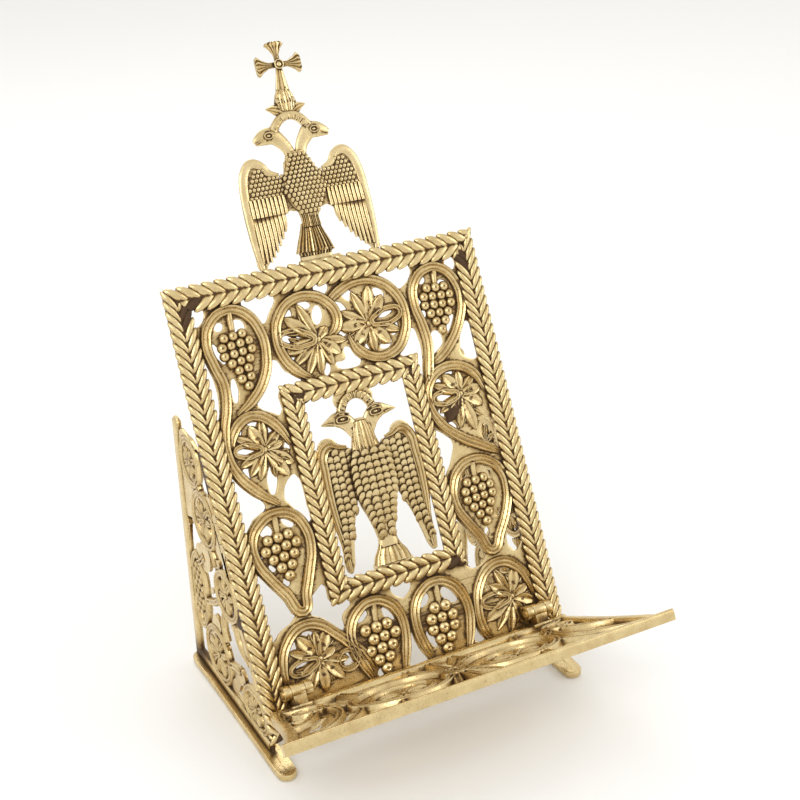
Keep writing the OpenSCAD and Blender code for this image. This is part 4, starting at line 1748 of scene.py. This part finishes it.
        # Leaves of the crown: angle, reach, and how far the tip bends outwards
        for angle, reach, bend in ((150, 17, 8), (122, 13, 8), (90, 12, 0), (58, 13, -8), (32, 16, -8)):
            leaf = [(*polar(root, angle, 1.0), 3.4), (*polar(root, angle, reach * 0.6), 3.8),
                    (*polar(root, angle + bend, reach), 0.5)]
            parts.append(BENCH.sweep(leaf, Strand.BAND, -3.4, detail=4))
        band = BENCH.sweep([(-6, 430), (1.2, 429), (8.4, 430)], Strand.STALK, -3.4)
        cup = BENCH.sweep([(1.3, 422, 6.0), (1.4, 429, 7.6), (1.5, 434, 6.8), (1.6, 438.5, 4.0)],
                          Strand.NECK, -3.3)
        stem = BENCH.sweep([(1.8, 437, 5.2), (2.2, 442, 4.2), (2.6, 448, 3.0), (3, 455, 2.2)],
                           Strand.BAND, -3.5)
        parts += [band, cup, stem]
        heart = (3.0, 455.5)
        for angle, reach in ((0, 17.4), (90, 16.6), (180, 17.4)):
            parts.append(BENCH.sweep(
                [(*polar(heart, angle, 1.5), 2.0), (*polar(heart, angle, reach * 0.42), 2.2),
                 (*polar(heart, angle, reach * 0.68), 4.4), (*polar(heart, angle, reach * 0.88), 7.4),
                 (*polar(heart, angle, reach * 0.96), 6.2), (*polar(heart, angle, reach), 3.2)],
                Strand.ARM, -3.6, detail=4))
        ring = BENCH.sweep(oval(heart, 3.1, 3.1), Strand.LINE, -1.9, closed=True)
        boss = BENCH.pebble((2.4, 2.4, 1.0), sides=14, rings=6)
        boss.data.transform(spot(*heart, -2.2))
        parts += [ring, boss]
        return parts

    def tang(self) -> list[bpy.types.Object]:
        """Models the tang behind the top border that the two screws hold.

        Returns:
            The parts.
        """
        strip = BENCH.pierced(
            [(-15, 300), (15, 300), (15, 316.5), (-15, 316.5)], [],
            [oval((-9, 307), 1.55, 1.55), oval((9, 307), 1.55, 1.55)], -9.5, -7.0, 0.3,
        )
        step = BENCH.pierced([(-15, 314), (15, 314), (15, 316.5), (-15, 316.5)], [], [], -9.5, -1.6)
        return [strip, step]

    def pieces(self) -> list[bpy.types.Object]:
        """Builds the crest.

        Returns:
            Its one piece.
        """
        parts = [*self.body(), *self.crown(), *self.tang()]
        for side in (-1, 1):
            parts += [*self.wing(side), *self.head(side)]
        return [BENCH.cast("crest_eagle_casting", parts, self.place)]


@dataclass
class SideWing:
    """A pierced side wing with its rear bar and knuckles, and the flat bar that it stands on.

    Fields: its side, its height, how far it reaches to the rear, and its CAD node.
    """

    side: str
    height: float = 206.0
    depth: float = 155.0
    node: str = field(init=False)

    # Lean of the panel in degrees, distance of the wing's front edge behind the panel's face, and
    # height of the panel's foot above the floor
    LEAN = 26.0
    EDGE = 16.4
    LIFT = 22.0
    # Openings through the plate, as distance to the rear and height; smaller oval ones; rings
    OPENINGS = (
        [(93, 169), (108, 197), (116, 170)], [(72, 127), (81, 146), (87, 127)],
        [(106, 119), (120, 117), (131, 107), (112, 97)], [(84, 117), (91, 118), (93, 109)],
        [(46, 87), (55, 98), (66, 86)], [(138, 92), (145, 96), (146, 88)],
        [(94, 59), (103, 66), (114, 50), (125, 38), (112, 36), (106, 44)],
        [(52, 37), (64, 44), (69, 33), (79, 19), (72, 18), (62, 30)],
    )
    EYES = (
        (133, 189, 4.5, 2.2, 60), (120, 180, 3.4, 2, 20), (100, 150, 5, 2, 70), (112, 154, 4, 2, 30),
        (106, 135, 4.4, 2, 70), (120, 140, 4, 1.8, 40), (142, 126, 3.6, 1.8, 30), (88, 88, 5, 1.8, 60),
        (66, 74, 5, 2, 10), (104, 86, 3.6, 2, -30), (98, 44, 4, 2.2, -40), (86, 48, 3.2, 2.2, 20),
        (86, 30, 4.4, 1.8, -60), (32, 26, 4.4, 2, 20), (18, 17, 4, 2, -10), (46, 22, 5, 1.8, -30),
        (108, 24, 4, 1.8, 60), (116, 20, 4, 1.8, 80), (136, 60, 4, 1.4, 65), (133, 78, 3.2, 1.4, 60),
    )
    RINGS = (
        oval((126, 180), 15.5, 17), oval((108, 142), 19.5, 20), oval((76, 96), 19, 17),
        oval((103, 32), 22, 21), oval((132, 72), 13, 30), oval((36, 25), 20, 14.5),
    )
    # Leaves in the rings: heart, reach of the lobes, the first one's angle and the turn to the next
    LEAVES = (
        ((126, 180), 14, 20, 45), ((108, 142), 17, 10, 40), ((76, 96), 16, 30, 45),
        ((103, 32), 19, 0, 40), ((36, 25), 14, 15, 45),
    )

    def __post_init__(self) -> None:
        """Names the node that this wing stands for."""
        self.node = f"{self.side}_wing"

    def front(self, up: float) -> float:
        """Distance to the rear of the wing's front edge at a height."""
        lean = math.radians(self.LEAN)
        return (self.EDGE + (up - self.LIFT) * math.sin(lean)) / math.cos(lean)

    def casting(self) -> bpy.types.Object:
        """Builds the wing.

        Returns:
            The finished casting.
        """
        shoulder = self.height * 0.975
        outline = [
            (self.front(5.3) + 0.5, 5.3), (self.depth - 3, 5.3), (self.depth - 3, shoulder - 8),
            (self.depth - 16, shoulder), (self.depth - 30, shoulder - 1),
            (self.front(shoulder) + 0.6, shoulder - 4),
        ]
        ground = BENCH.pierced(
            outline, [], [*self.OPENINGS, *(slanted(*eye) for eye in self.EYES)], -1.3, 1.3
        )
        parts = [ground]
        for index, ring in enumerate(self.RINGS):
            parts.append(BENCH.sweep(ring, Strand.WING_VINE, 0.02 * index, closed=True))
        bar_at = self.depth - 5.5
        parts.append(BENCH.sweep(
            [(bar_at, 5.4), (bar_at, self.height * 0.5), (bar_at, self.height - 3, 1.0),
             (bar_at, self.height - 0.5, 0.55)], Strand.WING_BAR, 0))
        parts.append(BENCH.sweep([(self.front(5) + 3, 9.2), (self.depth - 6, 9.2)],
                                 Strand.WING_SILL, 0))
        stems = (
            [(self.front(60) + 4, 60), (58, 66), (64, 80)], [(92, 112), (98, 120), (104, 124)],
            [(116, 108), (124, 100), (130, 96)], [(60, 42), (70, 40), (82, 36)],
            [(92, 84), (104, 76), (118, 70)], [(112, 163), (116, 168), (118, 170)],
            [(self.front(150) + 4, 150), (92, 152), (96, 150)], [(84, 54), (88, 64), (84, 78)],
        )
        parts += [BENCH.sweep(stem, Strand.WING_VINE, 0.05) for stem in stems]
        for heart, reach, first, step in self.LEAVES:
            angles = range(first, first + 360, step)
            lobes = tuple((angle, reach, Strand.LOBE_SMALL) for angle in angles)
            parts += Leaf(heart, lobes, depth=0).build()
        grape = BENCH.pebble((3.2, 3.2, 2.45), sides=12, rings=8)
        places = []
        for row in range(8):
            for i in range(2 + row % 2):
                places.append(spot(132 + (i - (1 + row % 2) / 2) * 6.2, 92 - 5.6 * row, 0))
        parts.append(BENCH.stamp(grape, places, "grapes"))
        return BENCH.cast(f"{self.side}_wing_casting", parts, Layout().wing(self.node, self.depth))

    def knuckles(self) -> bpy.types.Object:
        """Builds the two knuckles on the wing's front edge, in the panel's frame.

        Returns:
            The finished knuckles.
        """
        lie = Layout()
        sign = -1 if self.side == "left" else 1
        parts = []
        for up in lie.wing_hinge_ups:
            eye = Hinge(radius=3.95).eye(14, 5.6, 4.6)
            place = (sign * lie.wing_hinge_across, up, lie.wing_hinge_out)
            eye.data.transform(Matrix.Translation(place) @ QUARTER_TURN)
            parts.append(eye)
        return BENCH.cast(f"{self.side}_wing_knuckles", parts, lie.panel())

    def foot(self) -> bpy.types.Object:
        """Builds the flat foot bar with its round ends.

        Returns:
            The finished bar.
        """
        bar = BENCH.plate(self._foot_outline(), 0.0, 5.0, 1.0)
        turned = Layout().wing(self.node, self.depth) @ Matrix.Rotation(-math.pi / 2, 4, "X")
        return BENCH.cast(f"{self.side}_foot_casting", [bar], turned)

    def _foot_outline(self) -> list[Knot]:
        """Works out the outline of the foot bar.

        Returns:
            Its knots, along the bar and across it.
        """
        half = 6.9
        rear, front = self.depth - 7, -10.0
        back = [polar((rear, 0), -90 + 30 * i, half) for i in range(7)]
        nose = [polar((front, 0), 90 + 30 * i, half) for i in range(7)]
        straight = [(rear - 30 * i, half) for i in range(1, 5)]
        return [*back, *straight, *nose, *((x, -y) for x, y in reversed(straight))]

    def pieces(self) -> list[bpy.types.Object]:
        """Builds the wing's pieces."""
        return [self.casting(), self.knuckles(), self.foot()]


@dataclass
class BookLedge:
    """The hinged ledge: rear bar, leaf-filled ovals, horns, plain lip and two knuckle tabs.

    Fields: height of its upper face up the panel's slope, half the length of its rear bar and of
    its lip, and how far it reaches out from the panel.
    """

    upper: float = 19.0
    back_half: float = 118.0
    tip: float = 147.0
    reach: float = 107.0

    def place(self) -> Matrix:
        """The ledge's frame."""
        return Layout().ledge(self.upper)

    def half(self, side: int) -> list[bpy.types.Object]:
        """Models the parts on one side of the centre line.

        Args:
            side: -1 for the left side, 1 for the right.
        Returns:
            The parts.
        """
        def path(*knots: Knot) -> list[Knot]:
            """Knots given as across and out from the panel, for this side."""
            return [(side * k[0], -k[1], *k[2:]) for k in knots]

        parts = [
            BENCH.sweep(path(*oval((42, 55), 36, 28)), Strand.TRAY, -2.6, closed=True),
            BENCH.sweep(path(*oval((44, 60), 23, 17)), Strand.LOOP_WIDE, -2.5, closed=True),
            # Horn from the rear corner out to the front tip
            BENCH.sweep(path((114, 5.5, 1.1), (119, 22, 0.9), (123, 45, 0.9), (129, 70, 0.95),
                             (136, 90, 0.95), (141.6, 102, 0.75)), Strand.HORN, -2.6),
            # Volute at the rear corner
            BENCH.sweep(path((112, 8), (104, 13), (93, 18), (90, 27), (97, 34), (106, 32),
                             (108, 24), (101, 22)), Strand.TRAY, -2.7),
            # Struts towards the horn and the front
            BENCH.sweep(path((97, 34), (104, 46), (116, 58), (126, 63)), Strand.TRAY, -2.8),
            BENCH.sweep(path((88, 30), (86, 46), (92, 66), (106, 84), (124, 96)), Strand.TRAY, -2.75),
            BENCH.sweep(path((76, 66), (84, 78), (94, 90), (100, 98)), Strand.TRAY, -2.85),
            BENCH.sweep(path((78, 46), (86, 36), (90, 28)), Strand.TRAY, -2.8),
        ]
        for strut in (((52, 81), (54, 90), (55, 99)), ((24, 31), (20, 20), (18, 10)),
                      ((62, 31), (66, 20), (70, 10))):
            parts.append(BENCH.sweep(path(*strut), Strand.TRAY, -2.85))
        heart = path((44, 62))[0]
        lobes = tuple((angle, reach, Strand.LOBE_LOW) for angle, reach in
                      ((0, 20), (38, 18), (75, 15), (112, 15), (150, 18), (185, 20), (225, 17),
                       (270, 14), (315, 17)))
        parts += Leaf(heart, lobes, depth=-2.8).build()
        # Plates in the oval and under the horn, each an outline and its openings
        plates = (
            (((8, 50), (20, 34), (42, 27), (66, 34), (78, 52), (72, 72), (44, 82), (16, 74)),
             [slanted(*polar((44, 58), angle, 17), 5.5, 2.0, angle) for angle in range(18, 378, 40)]),
            (((92, 20), (114, 8), (124, 50), (136, 88), (140, 102), (118, 100), (102, 84), (92, 60)),
             [[(97, 42), (103, 60), (116, 74), (112, 62), (104, 48)],
              [(110, 22), (104, 38), (112, 50), (117, 44)],
              [(112, 84), (126, 94), (120, 80)]]),
        )
        for outline, eyes in plates:
            rims = [path(*outline), *(path(*eye) for eye in eyes)]
            parts.append(BENCH.pierced([], [], rims, -4.8, -3.0))
        return parts

    def casting(self) -> bpy.types.Object:
        """Builds the tray of the ledge with its bars, lip and centre boss.

        Returns:
            The finished casting.
        """
        def straight(half: float, share: float, out: float) -> list[Knot]:
            """Knots of a level bar at a distance out from the panel."""
            return [(x, -out) for x in (-half, -share, 0, share, half)]

        parts = [
            BENCH.sweep(straight(self.back_half, 60, 5.4), Strand.BAR, -2.6),
            BENCH.sweep(straight(self.tip - 10, 70, self.reach - 7.6), Strand.RAIL, -2.6),
            BENCH.sweep(straight(self.tip - 0.4, 70, self.reach - 2.2), Strand.LIP, -0.4),
            BENCH.sweep([(0, -8), (0, -30), (0, -55), (0, -80), (0, -100)], Strand.TRAY, -2.75),
            BENCH.sweep([(-20, -20), (-8, -38), (0, -55), (8, -72), (16, -92)], Strand.TRAY, -2.7),
            BENCH.sweep([(20, -20), (8, -38), (0, -55), (-8, -72), (-16, -92)], Strand.TRAY, -2.72),
            BENCH.sweep(oval((0, -55), 8, 8), Strand.TRAY, -2.6, closed=True),
        ]
        boss = BENCH.pebble((6.5, 6.5, 2.3), sides=20, rings=10)
        boss.data.transform(spot(0, -55, -2.4))
        parts.append(boss)
        for side in (-1, 1):
            parts += self.half(side)
        return BENCH.cast("ledge_casting", parts, self.place())

    def tabs(self) -> bpy.types.Object:
        """Builds the two knuckle tabs that stand on the rear bar.

        Returns:
            The finished tabs.
        """
        lie = Layout()
        parts = []
        for side in (-1, 1):
            across = side * lie.hinge_across
            tab = Hinge(radius=4.95).eye(10, 13.2, 8.8)
            tab.data.transform(
                Matrix.Translation((across, -lie.hinge_out, lie.hinge_up - self.upper))
            )
            curl = BENCH.sweep([(across - 7.5, -9.2, 0.6), (across, -9.6, 1),
                                (across + 7.5, -9.2, 0.6)], Strand.STALK, 1.0)
            parts += [tab, curl]
        return BENCH.cast("ledge_knuckle_tabs", parts, self.place())

    def pieces(self) -> list[bpy.types.Object]:
        """Builds the ledge's pieces."""
        return [self.casting(), self.tabs()]


@dataclass(frozen=True)
class Studio:
    """Pale floor, soft lights and the camera.

    Fields: the camera's angles in degrees, its distance and offsets in metres, and its lens.
    """

    azimuth: float = -27.17
    elevation: float = 24.78
    roll: float = -2.10
    distance: float = 0.97978
    right: float = -0.0141
    rise: float = 0.04414
    middle: Knot = (0.0, -0.06113, 0.2)
    lens: float = 66.7

    def camera(self) -> None:
        """Places the camera."""
        turn, tilt, roll = (math.radians(a) for a in (self.azimuth, self.elevation, self.roll))
        back = Vector((
            math.sin(turn) * math.cos(tilt), -math.cos(turn) * math.cos(tilt), math.sin(tilt)
        ))
        level = Vector((math.cos(turn), math.sin(turn), 0))
        upright = back.cross(level)
        across = math.cos(roll) * level + math.sin(roll) * upright
        rise = back.cross(across)
        aim = Vector(self.middle) + self.right * across + self.rise * rise
        bpy.ops.object.camera_add(location=aim + self.distance * back)
        eye = bpy.context.object
        eye.rotation_euler = Matrix((across, rise, back)).transposed().to_euler()
        eye.data.lens = self.lens
        eye.data.clip_start = 0.05
        bpy.context.scene.camera = eye

    def floor(self) -> None:
        """Lays a large pale floor."""
        bpy.ops.mesh.primitive_plane_add(size=60, location=(0, 0, -0.0005))
        ground = bpy.context.object
        ground.name = "floor"
        kit = Dresser("pale_floor")
        kit.shader.inputs["Base Color"].default_value = (0.9, 0.9, 0.89, 1)
        kit.shader.inputs["Roughness"].default_value = 0.9
        ground.data.materials.append(kit.material)

    def lights(self) -> None:
        """Hangs three soft lamps and a pale sky."""
        # Each lamp's place, size and power
        lamps = (
            ((-1.2, -1.4, 1.9), 1.3, 18.0),
            ((1.7, -1.0, 1.2), 1.0, 6.0),
            ((0.3, 1.5, 1.9), 1.4, 8.0),
        )
        for place, size, power in lamps:
            bpy.ops.object.light_add(type="AREA", location=place)
            lamp = bpy.context.object
            lamp.data.size = size
            lamp.data.energy = power
            aim = Vector((0, 0, 0.2)) - Vector(place)
            lamp.rotation_euler = aim.to_track_quat("-Z", "Y").to_euler()
        world = bpy.data.worlds.new("sky")
        bpy.context.scene.world = world
        world.use_nodes = True
        ground = world.node_tree.nodes["Background"]
        ground.inputs["Color"].default_value = (1.0, 0.99, 0.97, 1)
        ground.inputs["Strength"].default_value = 0.95
        bpy.context.scene.view_settings.view_transform = "Standard"

    def build(self) -> None:
        """Sets up the whole studio."""
        self.camera()
        self.floor()
        self.lights()


def main() -> None:
    """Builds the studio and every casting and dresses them."""
    logging.basicConfig(level=logging.INFO, format="%(message)s")
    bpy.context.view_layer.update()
    Studio().build()
    antique, polish_and_highlight, pins = (finish.value.make() for finish in Finish)
    panel, eagle, crest = FrontPanel().pieces(), CentreEagle().pieces(), CrestEagle().pieces()
    ledge = BookLedge().pieces()
    wings = {side: SideWing(side).pieces() for side in ("left", "right")}
    for group in (panel, eagle, crest, ledge, *wings.values()):
        # The recess value paints patina and painted shade into the finish
        PatinaAndShade().settle(group)
    for piece in panel:
        dress(piece, antique, "panel", "front_panel")
    # The eagles take the smoother finish, whose lighter colour is a painted highlight
    dress(eagle[0], polish_and_highlight, "panel", "centre_eagle")
    dress(crest[0], polish_and_highlight, "panel", "crest_eagle")
    for piece in ledge:
        dress(piece, antique, "ledge", "book_ledge")
    for side, (casting, knuckles, foot) in wings.items():
        for piece in (casting, knuckles):
            dress(piece, antique, f"{side}_side", f"{side}_wing")
        dress(foot, antique, f"{side}_side", f"{side}_foot_bar")
    for name, thing in frame["nodes"].items():
        if not thing.hide_render:
            thing.data.materials.clear()
            thing.data.materials.append(pins)
            LOG.info("%s keeps its shape and takes the pins' finish", name)
    BENCH.clear_sections()


if __name__ == "__main__":
    main()
